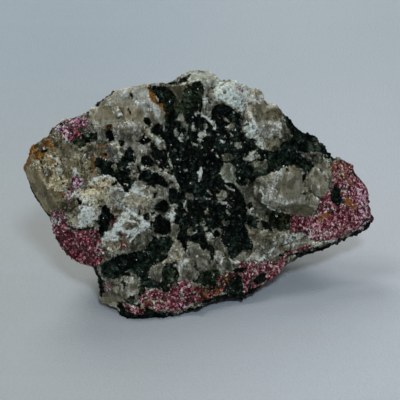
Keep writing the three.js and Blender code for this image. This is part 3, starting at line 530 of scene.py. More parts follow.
Q .6 -.35 .2 1.8 208.5,189.5 211.5,193
Q -.1 -.35 .2 2.4 207,198 211,198
Q -.42 -.35 .2 0 184,193 189,192 194,194 193,199 186,199
Q .85 -.35 .2 1.8 185.5,200.5 185,205.5
Q .25 -.35 .2 1.8 187,205 188,209
Q 0 -.35 .2 2 182,207
Q .1 -.35 .2 1.8 185.5,212
Q .1 -.35 .2 2.2 207,208 206,213
Q -.1 -.35 .2 2 208,217
Q -.1 -.45 .2 2.8 226,210 228,214
Q -.42 -.65 .2 0 221,223 224,218 229,219 230,223 226,226
Q -.45 -.55 .2 0 199,221 203,217 207,221 204,226 200,225
Q .1 -.35 .2 0 203.5,225 207.5,225 208.5,228 206,231 204,229.5
Q .45 .3 .5 0 204,236 206,231.5 209,231 211.5,232 212.5,236 210,240 208,241 206,240
Q .8 -.35 .2 1.8 211,232.5 212.5,236
Q -.12 -.35 .2 2.6 213,230 216,228.5 219.5,229.5 221,234 220.5,240 217,243
Q -.3 -.35 .2 0 214,244 218,242 222,244 223,248 219,250 215,249
Q -.3 -.35 .2 0 187,229 190,225 192,230 194,232 190,236 187,235
Q .4 -.35 .2 1.6 195.5,228 196,231 193,233 190.5,236
Q .6 -.35 .2 1.5 198.5,233
Q .3 -.25 .2 2 160,196.5 168,197
Q -.1 -.15 .1 0 171,203 175,201.5 179,204 176,208 172,208
F .85 -.4 .3 0 167,216 170,212 172,208 174.5,207.5 176,211 176,214 175,218 173,221.5 171,222 169.5,218
D -.1 0 -.2 1.8 174,209.5
Q -.28 -.25 .1 0 172,223 175,221.5 179,223 180,228 178,232 177,238 174,241 171,239 172,232
F .72 -.3 .2 0 155.5,233 157,235 160,235 160,240 158,238
Q .75 -.35 .2 1.8 177,235 177.5,240
Q -.1 -.45 .1 2.4 162,253 165,253
F .95 -.4 .3 0 250,211 251,207.5 253,206 255,208 254,211.5 251.5,213
Q -.3 -.55 .2 0 240,186 247,184 251,190 252,200 248,203 244,196 240,192
Q .2 -.35 .1 1.8 248,192
Q -.3 -.45 .1 0 258,209 263,207 268,210 267,218 261,220
Q .15 -.35 .1 2.4 260,210 265,212
Q -.1 -.35 .1 1.8 255,220 261,220
Q .5 -.35 .1 1.5 242,224
D -.05 -.1 .4 0 222,231 233,229 244,230 248,236 252,240 253,246 249,249.5 242,250 237,255 232,256 229,252
  227,247 224,242 222,236
D -.3 0 -.5 0 179,231 187,233 187,240 188,247 186,250 184,246 181,241 178.5,238
D -.3 0 -.5 0 191,238 197,235 203,235 206,241 211,243 213,247 213,259 211,258 210,250 206,247 203,249 200,246
  198,241
# black edges and crevices
Q .4 .2 0 3 264,252 268,250
M .55 -.1 0 3 69,225 73,227
Q -.2 0 0 3 121,149 124,151
D -.1 0 -.1 3 126,272 129,274
D 0 .3 -.1 3 195,280 197,282
Q -.55 .1 0 3.4 202,262 204,264
D -.1 -.2 -.1 2.4 259,175.5 265,173
D .3 .9 0 -.3 78,127 84,127 85,132 79,132
Q -.1 -.3 0 3 241,121 242,125
Q -.3 0 0 3 152,201 153,205
Q .2 .6 0 3 111,306 117,310
Q -.15 .2 0 3 284,259 294,256.5
D -.2 0 -.1 3 151,221 152,227
Q -.4 -.2 .1 0 255,222 262,222 264,227 257,228
F .55 .5 .1 3 35,160 38,163
F .95 -.1 .2 5 113,237 117,236
F .9 .1 .2 4 75,191 77,195
Q .6 .05 .1 5 263,128 267,130
F .55 .5 .1 3 342,174 345,177
Q .3 .1 .1 3 274,206 280,206
Q .4 .1 -2.2 3 57,122 62,120.5 68,118
M .05 .2 .1 3 282,257 290,253 298,250 308,246
D -.2 0 -.2 4 204,301 212,298 222,296
D .25 .8 -.1 1.6 56,125 66,120 78,115 88,110
D -.3 0 -.3 1.8 96,104 100,100 106,96 115,89
D .1 .9 0 1.6 25,173 30,186 34,196 41,206 49,216
D 0 .9 0 1.4 115,88 125,85 138,83
D -.1 .9 0 1.4 51,128 50,132 44,136 40,138 32,144 29,152
D -.2 .4 -.3 3.6 95,266 98,280 100,292
D -.2 .2 2 4 118,314 122,317 132,320 150,320 168,317 186,313 200,307 216,302 232,299 248,297 262,290
D -.3 .1 -.5 2 30,190 35,197 40,203
D -.3 .2 -1.6 5 78,198 80,202
D -.3 .2 -.6 2.4 68,226 77,229 85,228 94,226
D -.3 .4 -.6 3 38,150 37,156
D -.3 .4 -.6 3.4 42,151 46,150
D -.3 .3 -.4 2.6 101,153 106,154
"""

# Rust stains: strength, width, outline.
RUST_PATCHES = """
1.25 3 151,94 154,100 158,103 161,104
1.1 3 25,169 28,160 30,150 35,144
1.1 2.6 41,138 50,135
.6 3 150,90 153,98
.5 1.4 95,127 112,127 128,127 141,127
.85 2.4 97,143 104,145
.8 2.4 101,149 104,156 107,157
.55 3 92,156 93,165 95,173
1.25 5 45,144 48,143
.7 2.4 50,140 52,148
1 5 41,153
1.1 3.4 36,152 38,158
.55 3 30,150 28,160 25,169
.5 3 64,143 65,149
.85 4 266,102
.6 2 246,103 248,115 250,119
.5 2.4 86,114 84,118
.7 4 333,166
.7 3 337,174
.7 3 346,176
.6 3 344,169
1.3 6 348,201
1.2 4 353,206
1.15 4 322,218
.7 3 350,184
.5 3 343,226
.5 3 315,232
1.1 4 327,214
.5 7 205,294
.45 8 218,290
.5 6 226,278
.25 7 284,216
.4 6 336,164
.5 5 62,194
.35 12 100,186
.45 3 77,128 80,132
.5 4 146,300
.4 3 212,73 232,80
.45 4 350,164
.4 5 157,104 166,112
"""

# Facets that broke smooth: outline.
SMOOTH_FACETS = """
23,169 30,167 42,170 46,178 45,183 50,190 56,196 58,203 50,219 44,212 36,201 29,193 27,182 24,176
88,118 99,101 110,93 124,86 150,84 154,96 165,108 165,120 148,124 120,122 98,122
164,86 187,85 190,112 170,114 165,104
100,292 110,296 119,303 116,307 107,304 101,302
284,166 296,163 304,172 305,186 296,200 284,198 276,188 280,176
254,103 262,101 279,107 285,115 266,118 254,114
308,176 318,170 327,176 326,184 314,184
282,205 300,201 316,203 316,211 306,216 290,213
186,72 198,71 210,71 216,76 210,81 198,80 190,79
188,244 202,248 210,252 208,266 196,268 190,258
132,192 144,190 152,195 150,202 136,202
220,164 228,161 236,166 236,176 228,180 221,176
103,281 122,297 128,304 112,303 101,298
"""

# ================================================================ the minerals of the sides and the back
# Patches in space: mineral, tone, centre and radius.
BODY_PATCHES = (
    (MICA, .2, (44, 8, 22), 12), (MICA, .1, (36, 16, 12), 10), (MICA, -.2, (-36, 6, 18), 11),
    (MICA, .1, (-30, 20, 34), 9), (MICA, .2, (6, 22, 6), 9), (MICA, .1, (22, 14, 44), 7),
    (MICA, 0, (-8, 24, 26), 7),
    (DARK, -.1, (0, 12, 46), 13), (DARK, 0, (24, 22, 28), 11), (DARK, -.1, (-20, 22, 14), 10),
    (DARK, -.1, (8, 26, 22), 7), (DARK, 0, (38, 4, 38), 8), (DARK, 0, (-42, 6, 34), 6),
    (DARK, 0, (-22, 16, 44), 6),
    (FELDSPAR, .5, (-12, 20, 38), 9), (FELDSPAR, .4, (14, 20, 36), 8), (FELDSPAR, .5, (-30, 18, 24), 8),
    (FELDSPAR, .4, (30, 20, 16), 7), (FELDSPAR, .5, (-4, 24, 12), 7),
)
# Broad fields of noise: mineral, feature size, the level above which it shows, tone.
BODY_FIELDS = ((FELDSPAR, 9, 0.28, 0.45), (MICA, 11, 0.42, 0.1), (DARK, 10, 0.24, -0.1))
# Spots the size of single crystals: mineral, tone, size, share of the cells.
BODY_SPOTS = ((QUARTZ, 0.4, 4.5, 0.2), (FELDSPAR, 0.7, 3.2, 0.1), (DARK, -0.2, 3.6, 0.13),
              (MICA, 0.3, 3.4, 0.06))


# ================================================================ noise
def corner_hash(lattice, seed):
    """A repeatable number from 0 to 1 for each lattice corner."""
    x, y, z = lattice[..., 0], lattice[..., 1], lattice[..., 2]
    h = (x * 374761393 + y * 668265263 + z * 1440662683 + seed * 974634777) & 0xFFFFFFFF
    h = ((h ^ (h >> 13)) * 1274126177) & 0xFFFFFFFF
    h = ((h ^ (h >> 15)) * 2246822519) & 0xFFFFFFFF
    return ((h ^ (h >> 16)) & 0xFFFFFF) / 0xFFFFFF


def smooth_noise(points, seed):
    """Smooth noise from -1 to 1, one lattice step per unit."""
    base = np.floor(points).astype(np.int64)
    part = points - base
    part = part ** 3 * (part * (part * 6 - 15) + 10)
    total = np.zeros(len(points))
    for corner in itertools.product((0, 1), repeat=3):
        weight = np.prod(np.where(corner, part, 1 - part), axis=1)
        total += weight * corner_hash(base + corner, seed)
    return total * 2 - 1


def fractal(points, size, octaves, seed, spread=1.35):
    """Noise with features of this size and finer ones on them, spread to about -1 to 1."""
    total, weight = 0, 1.0
    for octave in range(octaves):
        total = total + weight * smooth_noise(points * 2 ** octave / size, seed + octave)
        weight *= 0.5
    return total / (2 - 2 * weight) * spread


def grains(points, size, seed):
    """Nearest cell: its distance, the gap to the next cell, its id from 0 to 1, and its facet's height."""
    points = points / size
    base = np.floor(points).astype(np.int64)
    near, second = np.full((2, len(points)), np.inf)
    ident, facet = np.zeros((2, len(points)))
    for step in itertools.product((-1, 0, 1), repeat=3):
        cell = base + step
        spot = np.stack([corner_hash(cell, seed + k) for k in (1, 2, 3)], axis=1)
        tilt = np.stack([corner_hash(cell, seed + k) for k in (4, 5, 6)], axis=1) * 2 - 1
        gap = points - cell - spot
        distance = np.sqrt((gap ** 2).sum(1))
        closer = distance < near
        second = np.where(closer, near, np.minimum(second, distance))
        ident = np.where(closer, corner_hash(cell, seed + 7), ident)
        facet = np.where(closer, (gap * tilt).sum(1), facet)
        near = np.minimum(near, distance)
    return near, second - near, ident, facet


def wander(points, size, octaves, seeds):
    """One column of noise per seed."""
    return np.stack([fractal(points, size, octaves, seed) for seed in seeds], axis=1)


def ramp(value, low, high):
    """0 below low, 1 above high, smooth between."""
    t = np.clip((value - low) / (high - low), 0, 1)
    return t * t * (3 - 2 * t)


# ================================================================ which mineral each point is
def read_rows(text):
    """A table's rows, each as its leading words and its outline in px. Lines starting with # are notes."""
    lines = [line for line in text.strip().splitlines() if not line.startswith("#")]
    for row in "\n".join(lines).replace("\n ", " ").splitlines():
        words = row.split()
        corners = [[float(n) for n in word.split(",")] for word in words if "," in word]
        yield words[:len(words) - len(corners)], np.array(corners)


def to_px(points):
    """Where each point shows in the image, and how far it stands behind the mean front face."""
    from_origin = points - FACE_ORIGIN
    right, up, out = from_origin @ RIGHT, from_origin @ UP, from_origin @ OUT
    scale = CAMERA_FAR / (CAMERA_FAR - out) / MM_PER_PX
    px = np.stack([PX_CENTRE + right * scale, PX_CENTRE - up * scale], axis=1)
    return px, FACE_TURN * right + FACE_TIP * up - out


def inside_by(points, corners, width):
    """How far inside an outline each point is, in px; outside is negative. With a width it is a line."""
    closed = width == 0
    ends = np.roll(corners, -1, axis=0) if closed or len(corners) == 1 else corners[1:]
    nearest = np.full(len(points), np.inf)
    inside = np.zeros(len(points), bool)
    x, y = points.T
    for a, b in zip(corners, ends):
        span = b - a
        along = np.clip((points - a) @ span / max(span @ span, 1e-9), 0, 1)
        gap = points - a - along[:, None] * span
        nearest = np.minimum(nearest, (gap ** 2).sum(1))
        if closed and a[1] != b[1]:
            crosses = (a[1] > y) != (b[1] > y)
            inside ^= crosses & (x < span[0] * (y - a[1]) / span[1] + a[0])
    nearest = np.sqrt(nearest)
    return np.where(inside, nearest, -nearest) if closed else width / 2 - nearest


def blank_state(count):
    """The values kept per vertex: depth inside each mineral, and what the materials and the relief read."""
    state = {name: np.full(count, OUTSIDE) for name in OVER_QUARTZ}
    for name in ("tone", "warmth", "proud", "rust", "smooth", "broken"):
        state[name] = np.zeros(count)
    return state


def paint(state, mineral, tone, warmth, proud, broken, depth, where, edge):
    """Lays one patch over the state: depth is how far inside it each vertex of `where` is, in mm."""
    for name in OVER_QUARTZ:
        kept = state[name][where]
        state[name][where] = np.maximum(kept, depth) if name == mineral else np.minimum(kept, -depth)
    cover = ramp(depth, -edge, edge)
    for name, value in (("tone", tone), ("warmth", warmth), ("broken", broken)):
        state[name][where] += (value - state[name][where]) * cover
    state["proud"][where] += proud * ramp(depth, -0.2, PX_STEP * MM_PER_PX)


def face_state(points, px):
    """The minerals that the front face's outlines give each vertex."""
    shard = grains(points, JAG_SIZE, 31)[2]
    jag = np.stack([shard, shard * 7.31 % 1], axis=1) * JAG_PX - JAG_PX / 2
    spots = px + wander(points, WARP_SIZE, 3, (11, 21)) * WARP_PX + jag - PX_SLIP
    state = blank_state(len(points))

    def depth_in(corners, width):
        """The vertices that a patch bears on, and how far inside it they are."""
        low, high = corners.min(0) - PATCH_REACH - width, corners.max(0) + PATCH_REACH + width
        where = np.flatnonzero(((spots > low) & (spots < high)).all(1))
        return where, np.maximum(inside_by(spots[where], corners, width), -PATCH_REACH) * MM_PER_PX

    def stain(name, strength, corners, width, fade):
        where, depth = depth_in(corners, width)
        state[name][where] = np.maximum(state[name][where], strength * ramp(depth, *fade))

    for (letter, *numbers), corners in read_rows(FACE_PATCHES):
        tone, warmth, proud, width = map(float, numbers)
        where, depth = depth_in(corners, max(width, 0))
        paint(state, LETTERS[letter], tone, warmth, proud, max(-width, 0), depth, where, FACE_EDGE)
    for (strength, width), corners in read_rows(RUST_PATCHES):
        stain("rust", float(strength), corners, float(width), RUST_FADE)
    for _, corners in read_rows(SMOOTH_FACETS):
        stain("smooth", 1, corners, 0, SMOOTH_FADE)
    return state


def body_state(points):
    """The minerals of the sides and the back, from patches in space and noise."""
    state = blank_state(len(points))
    state["tone"] = fractal(points, 6, 3, 91) * 0.55 + 0.05
    state["warmth"] = fractal(points, 12, 3, 95) * 0.5 + 0.3

    def lay(mineral, tone, warmth, proud, broken, depth, deepest_outside, edge):
        where = np.flatnonzero(depth > -deepest_outside)
        paint(state, mineral, tone, warmth, proud, broken, np.minimum(depth[where], BODY_DEPTH), where, edge)

    for seed, (mineral, size, level, tone) in enumerate(BODY_FIELDS):
        depth = (fractal(points, size, 4, 200 + 10 * seed) - level) * size * 0.45
        lay(mineral, tone, 0.2, 0, 0, np.maximum(depth, -BODY_DEPTH), np.inf, BODY_EDGE)
    warped = points + wander(points, 9, 4, (50, 60, 70)) * 4.5
    for mineral, tone, centre, radius in BODY_PATCHES:
        depth = radius - np.sqrt(((warped - np.array(centre)) ** 2).sum(1))
        lay(mineral, tone, 0.1, 0, 0.12, depth, BODY_DEPTH, BODY_EDGE)
    for seed, (mineral, tone, size, share) in enumerate(BODY_SPOTS):
        moved = points + fractal(points, 2.5, 2, 300 + seed)[:, None]
        near, _, ident, _ = grains(moved, size, 310 + 20 * seed)
        depth = np.where(ident < share, (0.42 - near) * size, -1.0)
        lay(mineral, tone, 0.1, 0.2, 0, depth, 0.6, SPOT_EDGE)
    state["rust"] = ramp(fractal(points, 7, 4, 351), 0.35, 0.8) * 0.7
    state["smooth"] = ramp(fractal(points, 9, 2, 361), 0.0, 0.4) * 0.8
    state["broken"] = np.maximum(state["broken"], ramp(fractal(points, 8, 3, 371), 0.15, 0.6) * 0.3)
    return state


def mineral_state(points, normals):
    """The minerals at every vertex: the face's outlines in front, the body's patches behind."""
    px, behind = to_px(points)
    behind = behind + FRONT_WANDER * fractal(points, 4, 3, 71)
    front = np.maximum(ramp(normals @ OUT, *FRONT_FACING), 1 - ramp(behind, *FRONT_BEHIND))
    face, body = face_state(points, px), body_state(points)
    return {name: body[name] + (face[name] - body[name]) * front for name in face}


def mineral_shares(state, low, high):
    """How much each mineral shows, from none at depth low to all at depth high."""
    dark, mica, spar = (ramp(state[name], low, high) for name in (DARK, MICA, FELDSPAR))
    return dark, mica, spar, np.clip(1 - dark - mica - spar, 0, 1)


# ================================================================ the surface
def dense_copy():
    """The CAD solid's triangles cut fine, finer where they face the camera: vertices and triangles."""
    bm = bmesh.new()
    bm.from_mesh(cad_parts[NODE].data)
    bmesh.ops.remove_doubles(bm, verts=bm.verts, dist=WELD)
    bmesh.ops.triangulate(bm, faces=bm.faces)
    out = Vector(OUT)
    for _ in range(MAX_CUTS):
        bm.normal_update()
        long = []
        for edge in bm.edges:
            a, b = edge.verts
            facing = (a.normal + b.normal).dot(out)
            if edge.calc_length() > (FRONT_EDGE if facing > 0.1 else BACK_EDGE) * MM:
                long.append(edge)
        if not long:
            break
        bmesh.ops.subdivide_edges(bm, edges=long, cuts=1)
        bmesh.ops.triangulate(bm, faces=[f for f in bm.faces if len(f.verts) > 3])
    bm.verts.index_update()
    points = np.array([v.co for v in bm.verts]) / MM
    triangles = np.array([[v.index for v in f.verts] for f in bm.faces])
    bm.free()
    return points, triangles


def edge_pairs(triangles):
    pairs = np.concatenate([triangles[:, [0, 1]], triangles[:, [1, 2]], triangles[:, [2, 0]]])
    return np.unique(np.sort(pairs, axis=1), axis=0)


def neighbour_mean(values, pairs):
    a, b = pairs.T
    count = len(values)
    total = np.stack([np.bincount(a, values[b, k], count) + np.bincount(b, values[a, k], count)
                      for k in range(values.shape[1])], axis=1)
    return total / np.maximum(np.bincount(a, minlength=count) + np.bincount(b, minlength=count), 1)[:, None]


def smoothed(values, pairs, times, share=0.6):
    for _ in range(times):
        values = values + (neighbour_mean(values, pairs) - values) * share
    return values


def unit(vectors):
    return vectors / np.maximum(np.linalg.norm(vectors, axis=1), 1e-12)[:, None]


def vertex_normals(points, triangles):
    a, b, c = (points[triangles[:, k]] for k in range(3))
    face = np.cross(b - a, c - a)
    return unit(np.stack([sum(np.bincount(triangles[:, k], face[:, axis], len(points)) for k in range(3))
                          for axis in range(3)], axis=1))


def facets(points, size, seed, tilt, step):
    """Grains of this size, each a facet tilted and stepped by about this much, and the gap to the next."""
    _, gap, ident, facet = grains(points, size, seed)
    return tilt * facet + step * (ident - 0.5), gap


def relief(points, state):
    """How far each mineral's own broken surface stands off the plain form."""
    dark, mica, spar, quartz = mineral_shares(state, -0.15, 0.15)
    shells, _ = facets(points + fractal(points, 6, 2, 401)[:, None], 4.6, 405, 0.50, 0.30)
    chips, _ = facets(points, 1.9, 408, 0.18, 0.10)
    conchoidal = shells + chips + 0.04 * fractal(points, 0.9, 2, 411)
    prisms, gap = facets(points, 1.15, 421, 0.30, 0.28)
    granular = prisms - 0.12 * np.exp(-gap / 0.1)
    scaly, _ = facets(points * np.array([1.0, 1.0, 0.6]), 0.85, 441, 0.32, 0.30)
    crumbs, _ = facets(points, 0.95, 461, 0.26, 0.26)
    crumbly = crumbs - 0.75 * ramp(fractal(points, 1.5, 2, 471), 0.42, 0.75)
    seams = sum(np.exp(-(state[name] / 0.22) ** 2) for name in OVER_QUARTZ)
    height = quartz * conchoidal + dark * granular + mica * scaly + spar * crumbly
    height = (height + 0.12 * fractal(points, 2.5, 3, 481)) * (1 - 0.7 * state["smooth"])
    return height - 0.14 * np.clip(seams, 0, 1) + 0.5 * state["proud"]


def hollowness(points, normals, pairs):
    """From -1 on ridges to 1 in pits, half from the next vertices and half from a wider ring."""
    near, wide = (((mean - points) * normals).sum(1)
                  for mean in (neighbour_mean(points, pairs), smoothed(points, pairs, 12)))
    return np.clip(near / FULL_PIT_NEAR, -1, 1) * 0.5 + np.clip(wide / FULL_PIT_WIDE, -1, 1) * 0.5


def rock_surface():
    """The rock's points, triangles, normals and the values that its material reads."""
    points, triangles = dense_copy()
    pairs = edge_pairs(triangles)
    points = smoothed(points, pairs, 1)
    normals = vertex_normals(points, triangles)
    state = mineral_state(points, smoothed(normals, pairs, 4))
    push = unit(smoothed(normals, pairs, 6))
    raised = points + push * relief(points, state)[:, None]
    raised[:, 2] = np.where(points[:, 2] < FLAT_REST, points[:, 2], np.maximum(raised[:, 2], 0.0))
    normals = vertex_normals(raised, triangles)
    # Hollowness, which the rock's material turns into painted shade in pits and a painted highlight on
    # ridges.
    state["hollow"] = hollowness(raised, normals, pairs)
    return raised, triangles, normals, state


def add_mesh(name, points, faces, attributes, material, smooth):
    """A piece of the specimen from points in mm; attributes are float values per point."""
    mesh = bpy.data.meshes.new(name)
    mesh.from_pydata((points * MM).tolist(), [], faces)
    for key, values in attributes.items():
        layer = mesh.attributes.new(key, "FLOAT", "POINT")
        layer.data.foreach_set("value", np.asarray(values, np.float32))
    mesh.polygons.foreach_set("use_smooth", np.full(len(mesh.polygons), smooth))
    mesh.materials.append(material)
    mesh.update()
    piece = bpy.data.objects.new(name, mesh)
    bpy.context.scene.collection.objects.link(piece)
    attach(piece, BODY)
    return piece


# ================================================================ grains set in the surface
PLATE = ((0, 1.0), (1, 0.9))                             # height and radius of each ring
PRISM = ((-0.5, 0.8), (0.3, 1.0), (0.55, 0.45))
CHIP = ((-0.5, 1.0), (0.5, 0.85))
LOWEST_GRAIN = 0.02                                      # height above the floor that no grain goes below
GRAIN_VALUES = ("tone", "warmth", "rust")                # what a grain takes from the vertex under it


def scatter(surface, weight, spacing, rng):
    """Random places on the triangles, thicker where weight is high: points, normals, vertex picked."""
    points, triangles, normals, _ = surface
    a, b, c = (points[triangles[:, k]] for k in range(3))
    area = np.linalg.norm(np.cross(b - a, c - a), axis=1) / 2 * weight[triangles].mean(1)
    count = int(area.sum() / spacing ** 2)
    chosen = rng.choice(len(area), count, p=area / area.sum())
    s, t = rng.random(count), rng.random(count)
    over = s + t > 1
    s, t = np.where(over, 1 - s, s), np.where(over, 1 - t, t)
    place = a[chosen] + s[:, None] * (b - a)[chosen] + t[:, None] * (c - a)[chosen]
    return place, normals[triangles[chosen, 0]], triangles[chosen, 0]


def random_frames(normals, tilt, rng):
    """Turned axes per grain: the third leans off the normal by up to about tilt radians."""
    third = unit(normals + rng.normal(0, tilt / 2, normals.shape))
    first = unit(np.cross(third, rng.normal(0, 1, normals.shape)))
    return np.stack([first, np.cross(third, first), third], axis=1)


def ring_solid(sides, levels):
    """Faces of a closed solid of stacked rings of points, capped at both ends."""
    faces = [list(range(sides))[::-1], [sides * (levels - 1) + k for k in range(sides)]]
    for level in range(levels - 1):
        low, high = level * sides, (level + 1) * sides
        for k in range(sides):
            after = (k + 1) % sides
            faces.append([low + k, low + after, high + after, high + k])
    return faces


def grain_cloud(places, frames, sizes, sides, profile, rough, rng):
    """Joined small solids with a ring per profile row; sizes is (width, depth, height) per grain."""
    count = len(places)
    angles = np.arange(sides) / sides * 2 * np.pi

    def jitter(amount):
        return amount * rough * (rng.random((count, sides)) - 0.5)

    rings = []
    for height, radius in profile:
        around = radius * (1 + jitter(1.0))
        turn = angles + jitter(0.5)
        lift = height + jitter(0.12)
        rings.append(np.stack([around * np.cos(turn), around * np.sin(turn), lift], axis=2))
    local = np.concatenate(rings, axis=1) * sizes[:, None, :]
    points = places[:, None, :] + np.einsum("nki,nij->nkj", local, frames)
    each = sides * len(profile)
    solid = ring_solid(sides, len(profile))
    faces = [[index + each * n for index in face] for n in range(count) for face in solid]
    return points.reshape(-1, 3), faces, each


def add_grains(name, surface, weight, material, seed, spacing, size, profile, sides, rough, tilt, sink):
    """One joined mesh of grains; size is (smallest, largest, flatness, height share)."""
    rng = np.random.default_rng(seed)
    places, normals, picked = scatter(surface, weight, spacing, rng)
    small, large, flat, tall = size
    width = small + (large - small) * rng.random(len(places)) ** 2
    sizes = np.stack([width, width * (flat + (1 - flat) * rng.random(len(places))),
                      width * tall * (0.6 + 0.8 * rng.random(len(places)))], axis=1)
    frames = random_frames(normals, tilt, rng)
    places = places - normals * (sink * sizes[:, 2:3])
    points, faces, each = grain_cloud(places, frames, sizes, sides, profile, rough, rng)
    points[:, 2] = np.maximum(points[:, 2], LOWEST_GRAIN)
    values = {key: np.repeat(surface[3][key][picked], each) for key in GRAIN_VALUES}
    values["shade"] = np.repeat(rng.random(len(places)), each)
    add_mesh(name, points, faces, values, material, False)


# ================================================================ materials
def linear(red, green, blue):
    """A linear colour from 0..255 screen values."""
    screen = np.array([red, green, blue]) / 255
    return (*np.where(screen <= 0.04045, screen / 12.92, ((screen + 0.055) / 1.055) ** 2.4), 1.0)


class Graph:
    """Builds one material's nodes. A value is a number, a colour, or another node's output."""

    def __init__(self, name):
        self.material = bpy.data.materials.new(name)
        self.material.use_nodes = True
        self.tree = self.material.node_tree
        self.tree.nodes.clear()
        place = self.node("ShaderNodeTexCoord", "Object")
        self.mm = self.node("ShaderNodeVectorMath", 0, {0: place, 3: 1 / MM}, operation="SCALE")

    def node(self, kind, output, values=None, **settings):
        made = self.tree.nodes.new(kind)
        for key, value in settings.items():
            setattr(made, key, value)
        for key, value in (values or {}).items():
            if isinstance(value, bpy.types.NodeSocket):
                self.tree.links.new(value, made.inputs[key])
            else:
                made.inputs[key].default_value = value
        return made.outputs[output] if output is not None else made

    def value(self, name):
        return self.node("ShaderNodeAttribute", "Fac", attribute_name=name)

    def math(self, operation, a, b=0.0, c=0.0, clamp=False):
        return self.node("ShaderNodeMath", 0, {0: a, 1: b, 2: c}, operation=operation, use_clamp=clamp)

    def scaled(self, a, factor, offset=0.0):
        return self.math("MULTIPLY_ADD", a, factor, offset)

    def spread(self, a, amount, mean=0.0):
        """A value from 0 to 1 spread over this amount about a mean."""
        return self.scaled(a, amount, mean - amount / 2)

    def times(self, a, b):
        return self.math("MULTIPLY", a, b)

    def total(self, *terms):
        result = terms[0]
        for term in terms[1:]:
            result = self.math("ADD", result, term)
        return result

    def step(self, value, low, high, to_low=0.0, to_high=1.0):
        return self.node("ShaderNodeMapRange", 0, {"Value": value, "From Min": low, "From Max": high,
                                                   "To Min": to_low, "To Max": to_high},
                         interpolation_type="SMOOTHSTEP")

    def placed(self, stretch, offset=0.0):
        """The place in mm, stretched and moved."""
        return self.node("ShaderNodeMapping", 0, {"Vector": self.mm, "Scale": stretch,
                                                  "Location": (offset,) * 3})

    def noise(self, scale, detail=3.0, rough=0.55, stretch=None, offset=0.0):
        """Noise from 0 to 1 with this many features per mm."""
        where = self.placed(stretch or (1, 1, 1), offset) if stretch or offset else self.mm
        return self.node("ShaderNodeTexNoise", 0, {"Vector": where, "Scale": scale, "Detail": detail,
                                                   "Roughness": rough})

    def cells(self, scale, output="Color", stretch=None):
        """Cells with this many per mm: each one's random colour, or the distance to its middle."""
        where = self.placed(stretch) if stretch else self.mm
        return self.node("ShaderNodeTexVoronoi", output, {"Vector": where, "Scale": scale})

    def one_of(self, colour, channel=0):
        """One channel of a random colour, as a number from 0 to 1."""
        return self.node("ShaderNodeSeparateColor", channel, {0: colour})

    def mix(self, factor, a, b, blend="MIX"):
        """A colour between a and b."""
        return self.node("ShaderNodeMix", 2, {0: factor, 6: a, 7: b}, data_type="RGBA", blend_type=blend)

    def blend(self, factor, a, b):
        """A number between a and b."""
        return self.node("ShaderNodeMix", 0, {0: factor, 2: a, 3: b}, data_type="FLOAT")

    def colours(self, factor, stops):
        """A colour ramp over -1 to 1."""
        made = self.node("ShaderNodeValToRGB", None, {0: self.scaled(factor, 0.5, 0.5)})
        marks = made.color_ramp.elements
        while len(marks) < len(stops):
            marks.new(1.0)
        for mark, (at, colour) in zip(marks, stops):
            mark.position = (at + 1) / 2
            mark.color = linear(*colour)
        return made.outputs[0]

    def finish(self, colour, roughness, height, depth, **fixed):
        """The shader; `fixed` holds its own sockets by name."""
        bump = self.node("ShaderNodeBump", 0, {"Strength": 1.0, "Distance": depth * MM, "Height": height})
        values = {"Base Color": colour, "Roughness": roughness, "Normal": bump}
        values.update({key.replace("_", " "): value for key, value in fixed.items()})
        shader = self.node("ShaderNodeBsdfPrincipled", 0, values)
        self.node("ShaderNodeOutputMaterial", None, {"Surface": shader})
        return self.material


# Screen colours over tone, from -1 to 1.
QUARTZ_STOPS = ((-1, (32, 32, 26)), (-.45, (72, 71, 58)), (0, (116, 114, 97)), (.4, (158, 157, 142)),
                (.75, (202, 204, 196)), (1, (240, 243, 240)))
SPAR_STOPS = ((-1, (44, 35, 22)), (-.4, (96, 84, 60)), (0, (142, 132, 103)), (.4, (184, 180, 157)),
              (.75, (213, 218, 208)), (1, (238, 245, 244)))
MICA_STOPS = ((-1, (20, 4, 8)), (-.45, (68, 14, 26)), (0, (122, 36, 53)), (.4, (168, 76, 93)),
              (.75, (206, 136, 148)), (1, (240, 214, 218)))
DARK_STOPS = ((-1, (1, 3, 2)), (-.4, (3, 7, 5)), (0, (9, 18, 13)), (.4, (31, 45, 38)), (1, (82, 98, 88)))
RUST_STOPS = ((-1, (40, 24, 7)), (-.2, (114, 72, 20)), (.3, (184, 120, 36)), (1, (228, 188, 116)))
# Painted shade: the screen colours that multiply the colour by hollowness, darker in pits and hollows.
PIT_SHADE_STOPS = ((-1, (255, 255, 255)), (-.3, (240, 240, 240)), (.15, (216, 216, 216)), (.7, (128, 126, 124)),
                (1, (92, 90, 88)))
# Tints that warmth turns a mineral towards: at 1, and at -1.
BROWN, GREEN = (1.13, 0.97, 0.70, 1), (0.88, 1.0, 0.92, 1)
DARK_BROWN, OLIVE = (1.6, 1.25, 0.75, 1), (1.1, 1.25, 0.8, 1)
SALMON, LILAC = (1.15, 0.9, 0.72, 1), (0.90, 0.98, 1.22, 1)
SPECK = (24, 20, 16)
# Painted light and shade of the cloth: darker to the left, and darker and bluer away to the back.
CLOTH_NEAR, CLOTH_FAR = ((175, 182, 187), (195, 203, 213)), ((163, 177, 190), (181, 193, 204))  # left, right
RUST_COVER = 0.9


def tinted(g, colour, warmth, warm=BROWN, cool=GREEN):
    """The colour turned towards one tint or the other by the warmth."""
    warm, cool = (g.mix(1.0, colour, tint, "MULTIPLY") for tint in (warm, cool))
    warmer = g.mix(g.math("MULTIPLY", warmth, 1.0, clamp=True), colour, warm)
    return g.mix(g.math("MULTIPLY", warmth, -1.0, clamp=True), warmer, cool)


def thin_line(g, scale, detail, rough, stretch, offset):
    """Distance from the winding lines where a noise crosses its middle."""
    return g.math("ABSOLUTE", g.scaled(g.noise(scale, detail, rough, stretch, offset), 1, -0.5))


